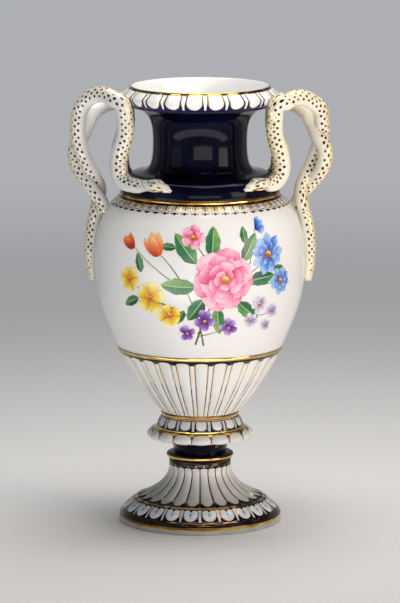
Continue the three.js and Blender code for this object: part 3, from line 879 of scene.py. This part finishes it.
def makeLip():
    s = lipSizes
    low, high = span('tongued_lip')
    reach, rim = s['reach'], s['rim']
    outline = [
        (reach - 6.6, low), (reach - 5.8, low + 2),
        ((reach - 0.4, low + 3.5), (reach, low + (high - low) * s['widestAt'])),
        ((reach - 2.2, high - 5.1), (rim + 0.5, high - 0.6)),
        ((rim + 0.4, high), (rim, high)),
        ((rim - 1.3, high), (rim - 2, high - 0.8)),
        ((rim - 6, high - 5.5), (s['bore'] + 3, low + 5.5), (s['bore'], low)),
    ]

    def depth(turn, radius, height):
        if radius <= rim:
            return 0
        share = cellShare(turn, s['count'], s['firstTongue'])
        drop = min(height - (low + s['roundAt']), 0) / s['roundHeight']
        beside = smooth(math.hypot(share / s['tongueShare'], drop), 0.75, 1.08)
        return s['groove'] * plateau(height, low + 2, low + 4.5, high - 3, high - 0.6) * beside

    turned('lip', 'tongued_lip', outline, s['columns'], 10, glazed('lipPaint', paintLip), depth)


makeLip()


# Snakes: each is one curve from snout to tail, given its thickness and its head ring by ring

snakeSizes = {
    'reach': 117.3, 'body': 8, 'shoulder': 70.2, 'lip': 69.3, 'backDrop': 6, 'tailDrop': 77, 'tailTip': 4.2,
    'sides': 28, 'steps': 12, 'headLength': 27,
}
# where a snake crosses its partner, one list of depths takes it over on its own side, the other under
outerOver = [25, 18, 13, 10, 9, 9.4, 9, 6.5, 0, -5.5, -6.5, -1]
outerUnder = [25, 18, 12, 8, 4, -4.5, -8, -7, 0, 5.5, 6.5, 2]
innerUnder = [31, 23, 15, 10, 7.5, 7, 6, 3.5, -1, -5.5, -8, -7.5, -6]
innerOver = [31, 23, 14, 9, 5, -2.5, -7.5, -8, -3.5, 2.5, 6.5, 7, 6]


def bezierAt(a, b, c, d, t):
    return (1 - t) ** 3 * a + 3 * (1 - t) ** 2 * t * b + 3 * (1 - t) * t * t * c + t ** 3 * d


def traceBelly(steps):      # the belly's outline as close points (height, radius)
    low, high = span('belly')
    rows = bellyOutline(bellySizes, low, high)
    starts = [(bellySizes['foot'], low), rows[0][2]]
    points = []
    for start, (first, second, end) in zip(starts, rows):
        for k in range(steps + 1):
            reach, height = [bezierAt(*sides, k / steps) for sides in zip(start, first, second, end)]
            points.append((height, reach))
    return points


bellyTrace = traceBelly(200)


def bellyReachAt(height):   # radius of the belly at a height
    above = min(max(bisect.bisect(bellyTrace, (height, 0)), 1), len(bellyTrace) - 1)
    (low, before), (high, after) = bellyTrace[above - 1], bellyTrace[above]
    return before + (after - before) * (height - low) / max(high - low, 1e-6)


def polar(angle, radius, height):
    turn = math.radians(angle)
    return radius * math.cos(turn), radius * math.sin(turn), height


def aloft(share):           # a height between the foot of the neck and the rim
    low, high = span('neck')[0], span('tongued_lip')[1]
    return low + (high - low) * share


# a route's row is (across, depth, height), thickness as a share of the body, and the way the back faces
def headRoute(s, turn, drop):
    foot = span('neck')[0]
    top = span('tongued_lip')[0]
    wide, lip = s['shoulder'], s['lip']
    between = turn + (27 - turn) * 0.72
    return [
        (polar(turn, wide + 4.4, foot + 12.5 - drop), 0.22, (0, 0.3, 1)),
        (polar(turn - 4, wide + 3.8, foot + 14.2 - drop), 0.51, (0, 0.3, 1)),
        (polar(turn - 12, wide + 3.4, foot + 16 - drop), 0.81, (0, 0.3, 1)),
        (polar(turn - 20, wide + 3.4, foot + 15.4 - drop), 0.7, (-0.1, 0.35, 1)),
        (polar(between, wide + 4.2, foot + 14.6 - drop), 0.82, (-0.5, 0.4, 1)),
        (polar(28, wide + 6.6, foot + 18 - drop / 2), 0.92, (-0.75, 0.42, 0.5)),
        (polar(25, wide + 8.3, aloft(0.27)), 1, (-0.88, 0.46, 0.1)),
        (polar(24.2, wide + 7.2, aloft(0.4)), 0.98, (-0.88, 0.46, 0)),
        (polar(25.8, lip + 3.4, aloft(0.6)), 0.94, (-0.8, 0.55, 0)),
        (polar(26.6, lip + 4, top - 8), 0.91, (-0.7, 0.6, 0.3)),
    ]


def tailRoute(s, depth):
    foot = span('neck')[0]
    drop, thin = s['tailDrop'], s['tailTip']
    rows = []
    for fall, lift, share in ((0.17, 8, 0.72), (0.35, 5, 0.72), (0.6, 3.9, 0.7), (0.82, 3.4, 0.65)):
        height = foot - drop * fall
        rows.append(((bellyReachAt(height) + lift, depth, height), share, (1, 0.3, 0)))
    tip = foot - drop
    reach = bellyReachAt(tip) + thin - 1.5
    rows.append(((reach, depth, tip + thin / 2), thin / s['body'], (1, 0.3, 0)))
    rows.append(((reach - 1, depth, tip), thin / 2 / s['body'], (1, 0.3, 0)))
    return rows


def hang(s, depths, rows):  # a row is how far in from the reach of the handle, height, thickness and back
    return [((s['reach'] - inset, depth, height), thick, back)
            for (inset, height, thick, back), depth in zip(rows, depths)]


def outerRoute(s, depths, crown):
    top, foot = span('tongued_lip')[0], span('neck')[0]
    start = [
        (polar(26.2, s['lip'] + 7, top + 5), 0.9, (-0.5, 0.5, 0.7)),
        (polar(21.5, s['lip'] + 11.6, crown - 2.6), 0.9, (-0.1, 0.35, 1)),
    ]
    return start + hang(s, depths, [
        (36.6, crown, 0.9, (0.1, 0.3, 1)),
        (27.2, crown, 0.9, (0.4, 0.25, 1)),
        (18.8, crown - 4.5, 0.89, (0.8, 0.25, 0.8)),
        (12.6, aloft(0.805), 0.88, (1, 0.3, 0.4)),
        (10.2, aloft(0.7), 0.87, (1, 0.3, 0.1)),
        (9.9, aloft(0.54), 0.86, (1, 0.3, 0)),
        (13, aloft(0.42), 0.84, (1, 0.3, -0.2)),
        (18, aloft(0.29), 0.8, (1, 0.3, -0.3)),
        (25, aloft(0.145), 0.76, (1, 0.3, -0.3)),
        (28.6, aloft(0.035), 0.73, (1, 0.3, -0.1)),
        (27, foot - 5, 0.73, (1, 0.3, 0)),
    ]) + tailRoute(s, depths[-1])


def innerRoute(s, depths):
    top, foot = span('tongued_lip')[0], span('neck')[0]
    start = [(polar(30, s['lip'] + 6.8, top - 1.4), 0.9, (-0.2, 0.7, 0.7))]
    return start + hang(s, depths, [
        (41, top - 1.6, 0.88, (0.1, 0.7, 0.8)),
        (34, top - 2.2, 0.87, (0.3, 0.8, 0.6)),
        (27.6, top - 5, 0.86, (0.5, 0.8, 0.5)),
        (22.6, aloft(0.73), 0.85, (0.8, 0.7, 0.3)),
        (18, aloft(0.64), 0.85, (1, 0.5, 0.2)),
        (13, aloft(0.53), 0.85, (1, 0.2, 0.1)),
        (7.2, aloft(0.41), 0.85, (1, -0.2, 0)),
        (7.6, aloft(0.31), 0.84, (1, -0.3, -0.3)),
        (12, aloft(0.2), 0.8, (1, -0.35, -0.4)),
        (18.8, aloft(0.1), 0.76, (1, -0.35, -0.4)),
        (25.4, aloft(0.01), 0.74, (1, -0.3, -0.3)),
        (31, foot - 7, 0.76, (1, -0.3, -0.2)),
    ]) + [((bellyReachAt(foot - 15), depths[-1], foot - 15), 0.9, (1, -0.2, 0))]


def makeSnake(s, name, route, side, front, paint):
    deselect()
    bpy.ops.curve.primitive_bezier_curve_add()
    curve = bpy.context.object
    curve.name = name
    data = curve.data
    data.resolution_u = s['steps']
    data.bevel_depth = mm
    data.bevel_resolution = s['sides'] // 2 - 2
    data.twist_mode = 'MINIMUM'
    points = data.splines[0].bezier_points
    points.add(len(route) - 2)
    for point, (place, _, _) in zip(points, route):
        point.co = (side * place[0] * mm, front * place[1] * mm, place[2] * mm)
        point.handle_left_type = 'AUTO'
        point.handle_right_type = 'AUTO'
    bpy.ops.object.convert(target='MESH')
    piece = bpy.context.object
    shapeRings(s, piece, route, side, front)
    addEnds(piece, s['sides'])
    piece.data.materials.append(paint)
    return piece


def shapeRings(s, piece, route, side, front):
    mesh = piece.data
    sides = s['sides']
    count = len(mesh.vertices) // sides
    rings = [mesh.vertices[i * sides:(i + 1) * sides] for i in range(count)]
    centres = [sum((v.co for v in ring), Vector()) / sides for ring in rings]
    lengths = [0.0]
    for before, here in zip(centres, centres[1:]):
        lengths.append(lengths[-1] + (here - before).length)
    around = mesh.attributes.new('around', 'FLOAT', 'POINT')
    along = mesh.attributes.new('along', 'FLOAT', 'POINT')
    for i, (ring, centre) in enumerate(zip(rings, centres)):
        tangent = (centres[min(i + 1, count - 1)] - centres[max(i - 1, 0)]).normalized()
        row = min(i // s['steps'], len(route) - 2)
        share = smooth(i / s['steps'] - row, 0, 1)
        (_, firstThick, firstBack), (_, nextThick, nextBack) = route[row:row + 2]
        thick = (firstThick + (nextThick - firstThick) * share) * s['body']
        back = Vector(firstBack).normalized().lerp(Vector(nextBack).normalized(), share)
        back = Vector((side * back.x, front * back.y, back.z))
        back = (back - tangent * back.dot(tangent)).normalized()
        right = tangent.cross(back)
        fromSnout = lengths[i] / mm
        toTail = (lengths[-1] - lengths[i]) / mm
        if toTail < 2:      # the last 2 mm close to a round end
            thick *= min(1, math.sqrt(max(1 - (1 - toTail / 2) ** 2, 0.02)))
        begin = (ring[0].co - centre).normalized()
        turnsRight = (ring[1].co - centre).dot(tangent.cross(begin)) > 0
        firstAngle = math.atan2(begin.dot(right), begin.dot(back))
        for k, vertex in enumerate(ring):
            angle = firstAngle + (1 if turnsRight else -1) * k * fullTurn / sides
            angle = (angle + math.pi) % fullTurn - math.pi
            wide, tall = headShape(s, fromSnout, angle, thick)
            sideways = right * (wide * math.sin(angle) * mm)
            vertex.co = centre + sideways + back * (tall * math.cos(angle) * mm)
            around.data[vertex.index].value = angle
            along.data[vertex.index].value = fromSnout


headSizes = {
    'jawFrom': 0.75, 'jawTo': 1.25, 'widen': 0.14, 'flatten': 0.10, 'under': 0.22,
    'browAt': (0.42, 0.65), 'browReach': (0.13, 0.55), 'browWide': 0.10, 'browTall': 0.24,
}


def headShape(s, fromSnout, angle, thick):  # half width and half height of the section
    h = headSizes
    if fromSnout > s['headLength'] + 12:
        return thick, thick
    place = fromSnout / s['headLength']
    jaw = 1 - smooth(place, h['jawFrom'], h['jawTo'])
    wide = thick * (1 + h['widen'] * jaw)
    tall = thick * (1 - h['flatten'] * jaw)
    if math.cos(angle) < 0:                 # the jaw is flatter than the crown
        tall *= 1 - h['under'] * jaw
    (browPlace, browAngle), (reachAlong, reachAround) = h['browAt'], h['browReach']
    brow = (math.exp(-((place - browPlace) / reachAlong) ** 2)
            * math.exp(-((abs(angle) - browAngle) / reachAround) ** 2))
    return wide * (1 + h['browWide'] * brow), tall * (1 + h['browTall'] * brow)


def addEnds(piece, sides):
    pick(piece)
    bpy.ops.object.mode_set(mode='EDIT')
    bpy.ops.mesh.select_all(action='DESELECT')
    bpy.ops.mesh.select_mode(type='EDGE')
    bpy.ops.mesh.select_non_manifold()
    bpy.ops.mesh.fill_holes(sides=sides)
    bpy.ops.mesh.select_all(action='SELECT')
    bpy.ops.mesh.normals_make_consistent(inside=False)
    bpy.ops.object.mode_set(mode='OBJECT')


# distances along in mm from the snout, and angles from the middle of the back, a quarter turn being 1.57
markSizes = {
    'dotRows': 14, 'dotPitch': 6.2, 'dotSize': 0.25, 'dotMost': 1.3, 'spotted': 1.6, 'fadeFrom': 244,
    'crown': (7, 24), 'crownShare': 0.55, 'scales': (12, 25), 'scalePitch': 2.6, 'scaleShare': 0.3,
    'jawLineAt': 1.75, 'jawLineTo': 0.72, 'cheek': (1.45, 2.1), 'cheekTo': 0.8, 'brow': (9.5, 21),
    'browAt': 0.74,
    # a spot is its place along and around, how much each distance counts, and its reach
    'blotch': (17, 1.02, 0.35, 5.5, 1), 'eye': (9.6, 1.18, 0.6, 5, 0.85),
    'eyeRing': (9.6, 1.18, 0.55, 4.6, 1.15), 'nostril': (2.6, 0.8, 1, 3, 0.4),
}


def attribute(tree, name):
    node = addNode(tree, 'Attribute', {}, attribute_name=name)
    return Wire(tree, node.outputs['Fac'])


def spot(along, aside, row):
    place, angle, countAlong, countAround, reach = row
    return length((along - place) * countAlong, (aside - angle) * countAround).below(reach)


def dotsOn(s, tree, around, along, height):  # distance from the nearest dot's edge, where dots are, the row
    m = markSizes
    aside = around.away()
    row = around * (m['dotRows'] / fullTurn)
    rowIndex = row.math('ROUND')
    rowOffset = (row - rowIndex) * (fullTurn * s['body'] * 0.88 / m['dotRows'])
    odd = (rowIndex * 0.5).fraction()       # every second row starts half a step later
    place = along / m['dotPitch'] + odd
    alongOffset = (place - place.math('ROUND')) * m['dotPitch']
    jitter = (noise(tree, 75, 1) - 0.5) * 2.2
    sideJitter = (noise(tree, 90, 1) - 0.5) * 1.6
    fading = (height * -1 + m['fadeFrom']).most(0)  # down the tail the dots shrink and leave its inner side
    size = noise(tree, 130, 1) * 1.5 + m['dotSize'] + (aside - 0.5) * 0.4 - fading * 0.022
    edge = aside - m['spotted'] + (noise(tree, 60, 1) - 0.5) * 0.5 + fading * 0.03
    onBack = edge.below(0) * along.above(s['headLength'] + 1)
    return length(rowOffset + sideJitter, alongOffset + jitter) - size.least(m['dotMost']), onBack, row


def paintSnake(s, skin, warmth):
    def layers(turn, radius, height):
        m = markSizes
        tree, head = turn.tree, s['headLength']
        around, along = attribute(tree, 'around'), attribute(tree, 'along')
        aside = around.away()
        dot, onBack, row = dotsOn(s, tree, around, along, height)
        worn = noise(tree, 45, 1)
        golden = (worn - aside * 0.3).above(0.42)
        bright = (worn - aside * 0.5).above(0.26) * (dot - 0.12).below(0) * onBack
        crown = noise(tree, 300, 2).above(0.52) * aside.below(0.8) * along.between(*m['crown'])
        spine = (aside * -0.8 + 1).most(0) * (noise(tree, 38, 2) * 1.6 - 0.2).clamped()
        speck = noise(tree, 620, 1).above(0.66) * noise(tree, 40, 2).above(0.52) * onBack
        jawLine = (aside - m['jawLineAt']).away().below(0.07) * along.between(3, head * m['jawLineTo'])
        nape = (along - (head + 0.5) + aside * aside * 2.4).away().below(0.36) * aside.below(1.6)
        brow = (aside - (along * -0.012 + m['browAt'])).away().below(0.09) * along.between(*m['brow'])
        browLine = brow * noise(tree, 420, 1).above(0.39)
        blotch = spot(along, aside, m['blotch']) * noise(tree, 320, 1).above(0.45)
        scale = (along / m['scalePitch'] + (row * 0.5).math('ROUND') * 0.5).fraction().below(0.14)
        scale = scale * along.between(*m['scales']) * aside.below(1.1)
        cheek = aside.between(*m['cheek']) * along.between(5, head * m['cheekTo'])
        return skin, [
            (spine * along.above(head + 1) * warmth, 'cream'),
            (scale * m['scaleShare'], 'olive'),
            (speck, 'gold'),
            (cheek * noise(tree, 170, 2).above(0.5), 'gold'),
            (dot.below(0) * onBack, 'ink'),
            (dot.below(0) * onBack * golden, 'darkGold'),
            (bright, 'gold'),
            (crown * m['crownShare'], 'olive'),
            (jawLine, 'darkGold'),
            (nape, 'ink'),
            (blotch, 'olive'),
            (browLine, 'ink'),
            (spot(along, aside, m['eyeRing']), 'gold'),
            (spot(along, aside, m['eye']), 'ink'),
            (spot(along, aside, m['nostril']), 'ink'),
        ]
    return layers


# a handle's side, where its front and back snakes lay their snouts, how far its crown is below the rim,
# the depths of both snakes, its skin (painted darker and cooler on the left for shade, warmer on the right
# for light) and how warm the spine is
handles = {
    'left': (-1, 70, 58, 6.2, outerOver, innerUnder, 'coolSnake', 0.75),
    'right': (1, 58, 70, 8.8, outerUnder, innerOver, 'warmSnake', 1),
}


def makeHandles(s):
    for name, (side, frontTurn, backTurn, drop, outerDepths, innerDepths, skin, warmth) in handles.items():
        crown = span('tongued_lip')[1] - drop
        paint = glazed(name + 'SnakePaint', paintSnake(s, skin, warmth), 0.08)
        outer = headRoute(s, frontTurn, 0) + outerRoute(s, outerDepths, crown)
        inner = headRoute(s, backTurn, s['backDrop']) + innerRoute(s, innerDepths)
        finishPiece(makeSnake(s, name + 'FrontSnake', outer, side, -1, paint), f'snake_{name}_front')
        finishPiece(makeSnake(s, name + 'BackSnake', inner, side, 1, paint), f'snake_{name}_back')


makeHandles(snakeSizes)
print('snakes made')


# Fixings inside: brass rod, nut and washers, and leather seals

fixings = {
    'brass': ('tie_rod', 'inner_washer', 'foot_washer', 'fixing_nut'),
    'leather': ('inner_seal', 'foot_seal'),
}
for finish, nodes in fixings.items():
    look = glazed(finish + 'Finish', plain(finish), 0.3, 0.5)
    for node in nodes:
        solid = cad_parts[node]
        solid.data.materials.clear()
        solid.data.materials.append(look)
print('fixings finished')


# Flower spray: cut flat in millimetres (across, height), each kind on its own layer, then laid on the belly

spraySizes = {
    'lift': 0.1, 'layer': 0.05, 'thick': 0.05, 'seed': 11, 'bend': 0.14, 'sway': 4, 'grow': (0.93, 1.07),
    'rows': 12, 'half': 0.62, 'tip': 0.03, 'taper': 0.018, 'stemTaper': 0.35, 'antherReach': 0.5,
    'anthersFrom': 1.6,
}

# a blank's outline: how fast it widens, how late it closes, how round its tip is, its notch, waves and teeth
blanks = {
    'ruffled': (0.62, 5, 0.5, 0.10, 0.05, 4),
    'heart': (0.85, 6, 0.5, 0.22, 0, 0),
    'fringed': (1.1, 9, 0.5, -0.06, 0.14, 5),
    'oval': (0.5, 2.6, 0.5, 0, 0, 0),
    'cup': (0.42, 2.4, 0.8, -0.05, 0, 0),
    'leaf': (0.66, 1.5, 0.92, 0, 0.045, 9),
}
# a kind of flower is its paint, its veins and how strong they are, its colours from heart to edge, and its
# groups by blank; a group is a place, a count, length, width, first angle, spread and layer
flowers = {
    'pinkFlowers': (
        'pinkPaint', 7, 0.6,
        ((0.34, 0.005, 0.05), (0.60, 0.03, 0.13), (0.82, 0.18, 0.34), (0.92, 0.52, 0.64)), {'ruffled': [
            ((21, 231), 7, 27, 25, 8, 360, 8), ((21, 231), 7, 21, 19, 34, 360, 9),
            ((22, 231), 6, 15, 14, 10, 360, 10), ((22, 231), 5, 9.5, 9, 40, 360, 11),
            ((-6, 268), 5, 10, 9, 20, 360, 5), ((-6, 268), 4, 6, 6, 50, 360, 6),
        ]}),
    'blueFlowers': (
        'bluePaint', 5, 0.55,
        ((0.02, 0.02, 0.20), (0.03, 0.08, 0.42), (0.08, 0.23, 0.68), (0.34, 0.54, 0.88)), {'fringed': [
            ((64, 251), 9, 15.5, 9.5, 0, 360, 5), ((64, 251), 8, 9, 5.5, 20, 360, 6),
            ((79, 226), 8, 11, 7.5, 12, 360, 5), ((79, 226), 7, 6.5, 4.5, 30, 360, 6),
            ((50, 273), 4, 9, 6, 20, 80, 5),
        ]}),
    'yellowFlowers': (
        'yellowPaint', 5, 0.55,
        ((0.50, 0.16, 0.01), (0.80, 0.38, 0.02), (0.90, 0.68, 0.03), (0.94, 0.86, 0.34)), {'heart': [
            ((-45, 214), 5, 14, 13.5, 5, 360, 7), ((-67, 229), 5, 11, 10.5, 30, 360, 5),
            ((-27, 199), 5, 10.5, 10, 50, 360, 6),
        ]}),
    'orangeFlowers': (
        'orangePaint', 4, 0.55,
        ((0.34, 0.02, 0.01), (0.66, 0.06, 0.015), (0.86, 0.20, 0.04), (0.94, 0.54, 0.24)), {'cup': [
            ((-37, 251), 3, 21, 12, -42, 36, 5), ((-37, 251), 1, 19, 11, -24, 1, 6),
            ((-62, 256), 3, 14, 8, -62, 36, 5), ((-62, 256), 1, 12, 7, -44, 1, 6),
        ], 'oval': [
            ((-45, 214), 5, 4.6, 2.2, 5, 360, 8), ((-67, 229), 5, 3.7, 1.8, 30, 360, 6),
            ((-27, 199), 5, 3.6, 1.8, 50, 360, 7),
        ]}),
    'violets': (
        'violetPaint', 5, 0.55,
        ((0.08, 0.015, 0.16), (0.16, 0.04, 0.30), (0.30, 0.13, 0.52), (0.60, 0.42, 0.76)), {'oval': [
            ((4, 195), 2, 10, 7.5, -24, 48, 6), ((4, 195), 3, 9.5, 8.5, 110, 140, 7),
            ((25, 188), 2, 9, 7, -10, 50, 6), ((25, 188), 3, 8.5, 7.5, 124, 140, 7),
            ((-11, 183), 2, 8, 6, -60, 48, 6), ((-11, 183), 3, 7.5, 6.5, 74, 140, 7),
        ]}),
    'whiteFlowers': (
        'whitePaint', 3, 0.85,
        ((0.20, 0.14, 0.34), (0.44, 0.36, 0.58), (0.68, 0.64, 0.80), (0.84, 0.83, 0.88)), {'oval': [
            ((55, 207), 7, 9, 6.4, 0, 360, 7), ((69, 200), 6, 7.6, 5.8, 20, 360, 6),
            ((46, 193), 6, 7.4, 5.6, 44, 360, 8), ((62, 187), 6, 6, 4.6, 10, 360, 5),
        ]}),
}
# a leaf is its place, length, width, angle and layer
leaves = [
    ((-3, 246), 31, 27, -42, 2), ((10, 251), 26, 24, 8, 3), ((38, 247), 25, 23, 34, 2),
    ((45, 229), 25, 24, 84, 3), ((-4, 225), 29, 26, -94, 3), ((3, 214), 25, 24, -142, 2),
    ((34, 211), 26, 23, 140, 2), ((15, 207), 24, 20, 176, 3), ((-54, 236), 17, 14.5, -12, 2),
    ((70, 238), 16, 14.5, 96, 2), ((-57, 213), 18, 16, -112, 2), ((41, 262), 15, 13, -20, 2),
    ((-21, 259), 14, 12.5, -84, 2), ((-14, 204), 15, 13, -160, 2),
]
leafColours = ((0.012, 0.085, 0.035), (0.05, 0.26, 0.10), (0.36, 0.52, 0.13))
leafRib = (0.42, 0.55, 0.22)
# a stem is its start, its bend, its end, and its width
stems = [
    ((-4, 172), (4, 200), (20, 228), 1.7), ((3, 171), (0, 196), (-12, 222), 1.4),
    ((-12, 222), (-24, 244), (-37, 254), 1.2), ((-10, 221), (-40, 238), (-62, 258), 1.0),
    ((0, 196), (-24, 204), (-45, 214), 1.1), ((-24, 206), (-50, 216), (-67, 229), 1.0),
    ((20, 226), (46, 232), (64, 250), 1.2), ((40, 226), (62, 224), (79, 226), 1.0),
    ((44, 240), (48, 256), (50, 274), 1.0), ((10, 244), (0, 256), (-6, 268), 1.1),
    ((14, 208), (36, 206), (55, 207), 1.0), ((34, 206), (52, 192), (69, 200), 0.9),
    ((-2, 182), (0, 186), (4, 195), 1.0), ((-2, 180), (10, 182), (25, 188), 0.9),
]
stemColours = ((0.08, 0.12, 0.03), (0.10, 0.22, 0.04), (0.20, 0.32, 0.07), (0.32, 0.38, 0.12))
# a heart is the middle of a flower: its place, its reach and its layer
hearts = [
    ((22, 231), 3.6, 12), ((-6, 268), 2.0, 7), ((64, 251), 3.0, 7), ((79, 226), 2.2, 7), ((-45, 214), 1.7, 9),
    ((-67, 229), 1.4, 7), ((-27, 199), 1.4, 8), ((4, 194), 1.5, 8), ((25, 187), 1.4, 8),
    ((-11, 182.4), 1.2, 8), ((55, 207), 1.7, 8), ((69, 200), 1.4, 7), ((46, 193), 1.3, 9),
    ((62, 187), 1.1, 6),
]
heartColours = ((0.35, 0.10, 0.01), (0.55, 0.24, 0.02), (0.92, 0.66, 0.04), (0.94, 0.80, 0.22))


def cutBlank(blank):        # one petal or leaf, a unit long and wide
    s = spraySizes
    widen, close, rounded, notching, wave, waves = blanks[blank]
    deselect()
    bpy.ops.mesh.primitive_grid_add(x_subdivisions=s['rows'], y_subdivisions=s['rows'], size=2)
    piece = bpy.context.object
    for vertex in piece.data.vertices:
        across, along = vertex.co.x, (vertex.co.y + 1) / 2
        half = along ** widen * max(1 - along ** close, 0) ** rounded + s['tip'] - s['taper'] * along
        if blank == 'leaf':     # its teeth are along the sides, and a petal's waves along its tip
            half *= 1 + wave * math.sin(along * fullTurn * waves) * 1.6
            ripple = 1
        else:
            ripple = 1 + wave * math.sin(across * math.pi * waves) * along
        notch = 1 - notching * (1 - abs(across)) ** 1.4 * along ** 3
        vertex.co = (half * across * s['half'], along * notch * ripple, 0)
    return piece


def bendPetal(petal, bend, tone):
    for vertex in petal.data.vertices:
        vertex.co.x += bend * vertex.co.y ** 2
    tones = petal.data.attributes.new('tone', 'FLOAT', 'POINT')
    for item in tones.data:
        item.value = tone


def layOut(name, blankGroups, finish, rng):
    s = spraySizes
    copies = []
    for blank, groups in blankGroups.items():
        master = cutBlank(blank)
        for place, count, long, wide, first, spread, layer in groups:
            step = spread / count if spread == 360 else spread / max(count - 1, 1)
            for k in range(count):
                petal = master.copy()
                petal.data = master.data.copy()
                bpy.context.collection.objects.link(petal)
                angle = math.radians(first + k * step + rng.uniform(-s['sway'], s['sway']))
                grow = rng.uniform(*s['grow'])
                bendPetal(petal, rng.uniform(-1, 1) * s['bend'], rng.random())
                lift = s['lift'] + s['layer'] * (layer + 0.5 * (k % 2) + 0.08 * k)
                petal.data.transform(Matrix.Translation((*place, lift)) @ Matrix.Rotation(-angle, 4, 'Z')
                                     @ Matrix.Diagonal((wide, long * grow, 1, 1)))
                copies.append(petal)
        pick(master)
        bpy.ops.object.delete()
    gather(name, copies, finish)


def gather(name, copies, finish):   # joins them, lays them on the belly and gives them their thickness
    deselect()
    for copy in copies:
        copy.select_set(True)
    bpy.context.view_layer.objects.active = copies[0]
    bpy.ops.object.join()
    piece = bpy.context.object
    piece.name = name
    for vertex in piece.data.vertices:
        across, height, lift = vertex.co
        reach = bellyReachAt(height)
        turn = across / reach
        out = reach + lift
        vertex.co = (out * math.sin(turn) * mm, -out * math.cos(turn) * mm, height * mm)
    piece.data.update()
    piece.data.materials.append(finish)
    wall = piece.modifiers.new('wall', 'SOLIDIFY')
    wall.thickness = spraySizes['thick'] * mm
    wall.offset = -1
    bpy.ops.object.modifier_apply(modifier='wall')
    finishPiece(piece)


def layStems(finish):
    s = spraySizes
    strips = []
    for start, bend, end, wide in stems:
        deselect()
        bpy.ops.mesh.primitive_grid_add(x_subdivisions=2, y_subdivisions=24, size=2)
        strip = bpy.context.object
        a, b, c = Vector(start), Vector(bend), Vector(end)
        for vertex in strip.data.vertices:
            across, t = vertex.co.x, (vertex.co.y + 1) / 2
            place = a * (1 - t) ** 2 + b * (2 * t * (1 - t)) + c * t * t
            along = ((b - a) * (1 - t) + (c - b) * t).normalized()
            place += Vector((along.y, -along.x)) * across * wide / 2 * (1 - s['stemTaper'] * t)
            vertex.co = (place.x, place.y, s['lift'])
        strips.append(strip)
    gather('stems', strips, finish)


def layDisc(place, reach, lift, corners):
    deselect()
    bpy.ops.mesh.primitive_circle_add(vertices=corners, radius=reach, fill_type='NGON')
    disc = bpy.context.object
    disc.data.transform(Matrix.Translation((*place, lift)))
    return disc


def layHearts(finish):
    s = spraySizes
    discs = []
    for (across, height), reach, layer in hearts:
        lift = s['lift'] + s['layer'] * (layer + 1)
        discs.append(layDisc((across, height), reach, lift, 24))
        count = int(reach * 5) if reach > s['anthersFrom'] else 0   # a ring of anthers round the larger ones
        for k in range(count):
            angle = k * fullTurn / count
            far = reach * (1.45 + 0.25 * (k % 2))
            place = (across + far * math.sin(angle), height + far * math.cos(angle))
            discs.append(layDisc(place, s['antherReach'], lift, 8))
    gather('flowerHearts', discs, finish)


enamelSizes = {'brushScale': 190, 'rough': 0.14, 'roughBy': 0.12, 'bump': 0.1, 'bumpDepth': 0.1}


def enamel(name):           # an empty paint, its place across and along a petal, and its brush marks
    s = enamelSizes
    material, tree, shader = newMaterial(name)
    across, along, _ = split(tree, addNode(tree, 'UVMap', {}, uv_map='UVMap').outputs['UV'])
    brush = noise(tree, s['brushScale'], 3)
    tree.links.new((brush * s['roughBy'] + s['rough']).socket, shader.inputs['Roughness'])
    roughen(tree, shader, brush, s['bump'], s['bumpDepth'])
    return material, tree, shader, across * 2 - 1, along, brush


def over(share, below, above):      # a fixed colour laid over another
    return blendColours(share, below, (*above, 1))


def painted(name, colours, veins, strength):
    deep, inner, middle, outer = colours
    material, tree, shader, across, along, brush = enamel(name)
    tone = attribute(tree, 'tone')
    shade = along * 1.05 + (brush - 0.5) * 0.34 + (tone - 0.5) * 0.42 + across * 0.14 - 0.06
    colour = ramp(shade, (0.06, deep), (0.30, inner), (0.62, middle), (0.98, outer))
    cell = (across * (veins / 2) + 0.5 + (brush - 0.5) * 0.5).fraction() - 0.5
    streak = cell.away().below(0.12) * along.between(0.1, 0.82) * brush.above(0.45)
    edge = across.away().above(0.93) * along.below(0.9) * noise(tree, 90, 2).above(0.4)
    colour = over(streak * strength * 0.7, colour, deep)
    colour = over(edge * strength, colour, inner)
    tree.links.new(colour, shader.inputs['Base Color'])
    return material


def paintedLeaf(name, colours, rib):
    deep, middle, pale = colours
    material, tree, shader, across, along, brush = enamel(name)
    tone = attribute(tree, 'tone')
    aside = across.away()
    shade = along * 0.35 + across.above(0) * 0.36 + aside * 0.22 + (brush - 0.5) * 0.5 + (tone - 0.5) * 0.6
    colour = ramp(shade, (0.05, deep), (0.5, middle), (0.98, pale))
    sideVein = (along * 7 - aside * 1.9).fraction().below(0.17) * aside.between(0.05, 0.86)
    colour = over(sideVein * 0.6, colour, deep)
    colour = over(aside.below(0.075) * 0.85, colour, rib)
    colour = over(aside.above(0.9) * noise(tree, 90, 2).above(0.45) * 0.6, colour, deep)
    tree.links.new(colour, shader.inputs['Base Color'])
    return material


rng = random.Random(spraySizes['seed'])
layStems(painted('stemPaint', stemColours, 1, 0.55))
leafGroups = [(place, 1, *rest, 1, layer) for place, *rest, layer in leaves]
layOut('leaves', {'leaf': leafGroups}, paintedLeaf('leafPaint', leafColours, leafRib), rng)
for name, (paint, veins, strength, colours, blankGroups) in flowers.items():
    layOut(name, blankGroups, painted(paint, colours, veins, strength), rng)
layHearts(painted('heartPaint', heartColours, 5, 0.55))
print('flower spray laid')
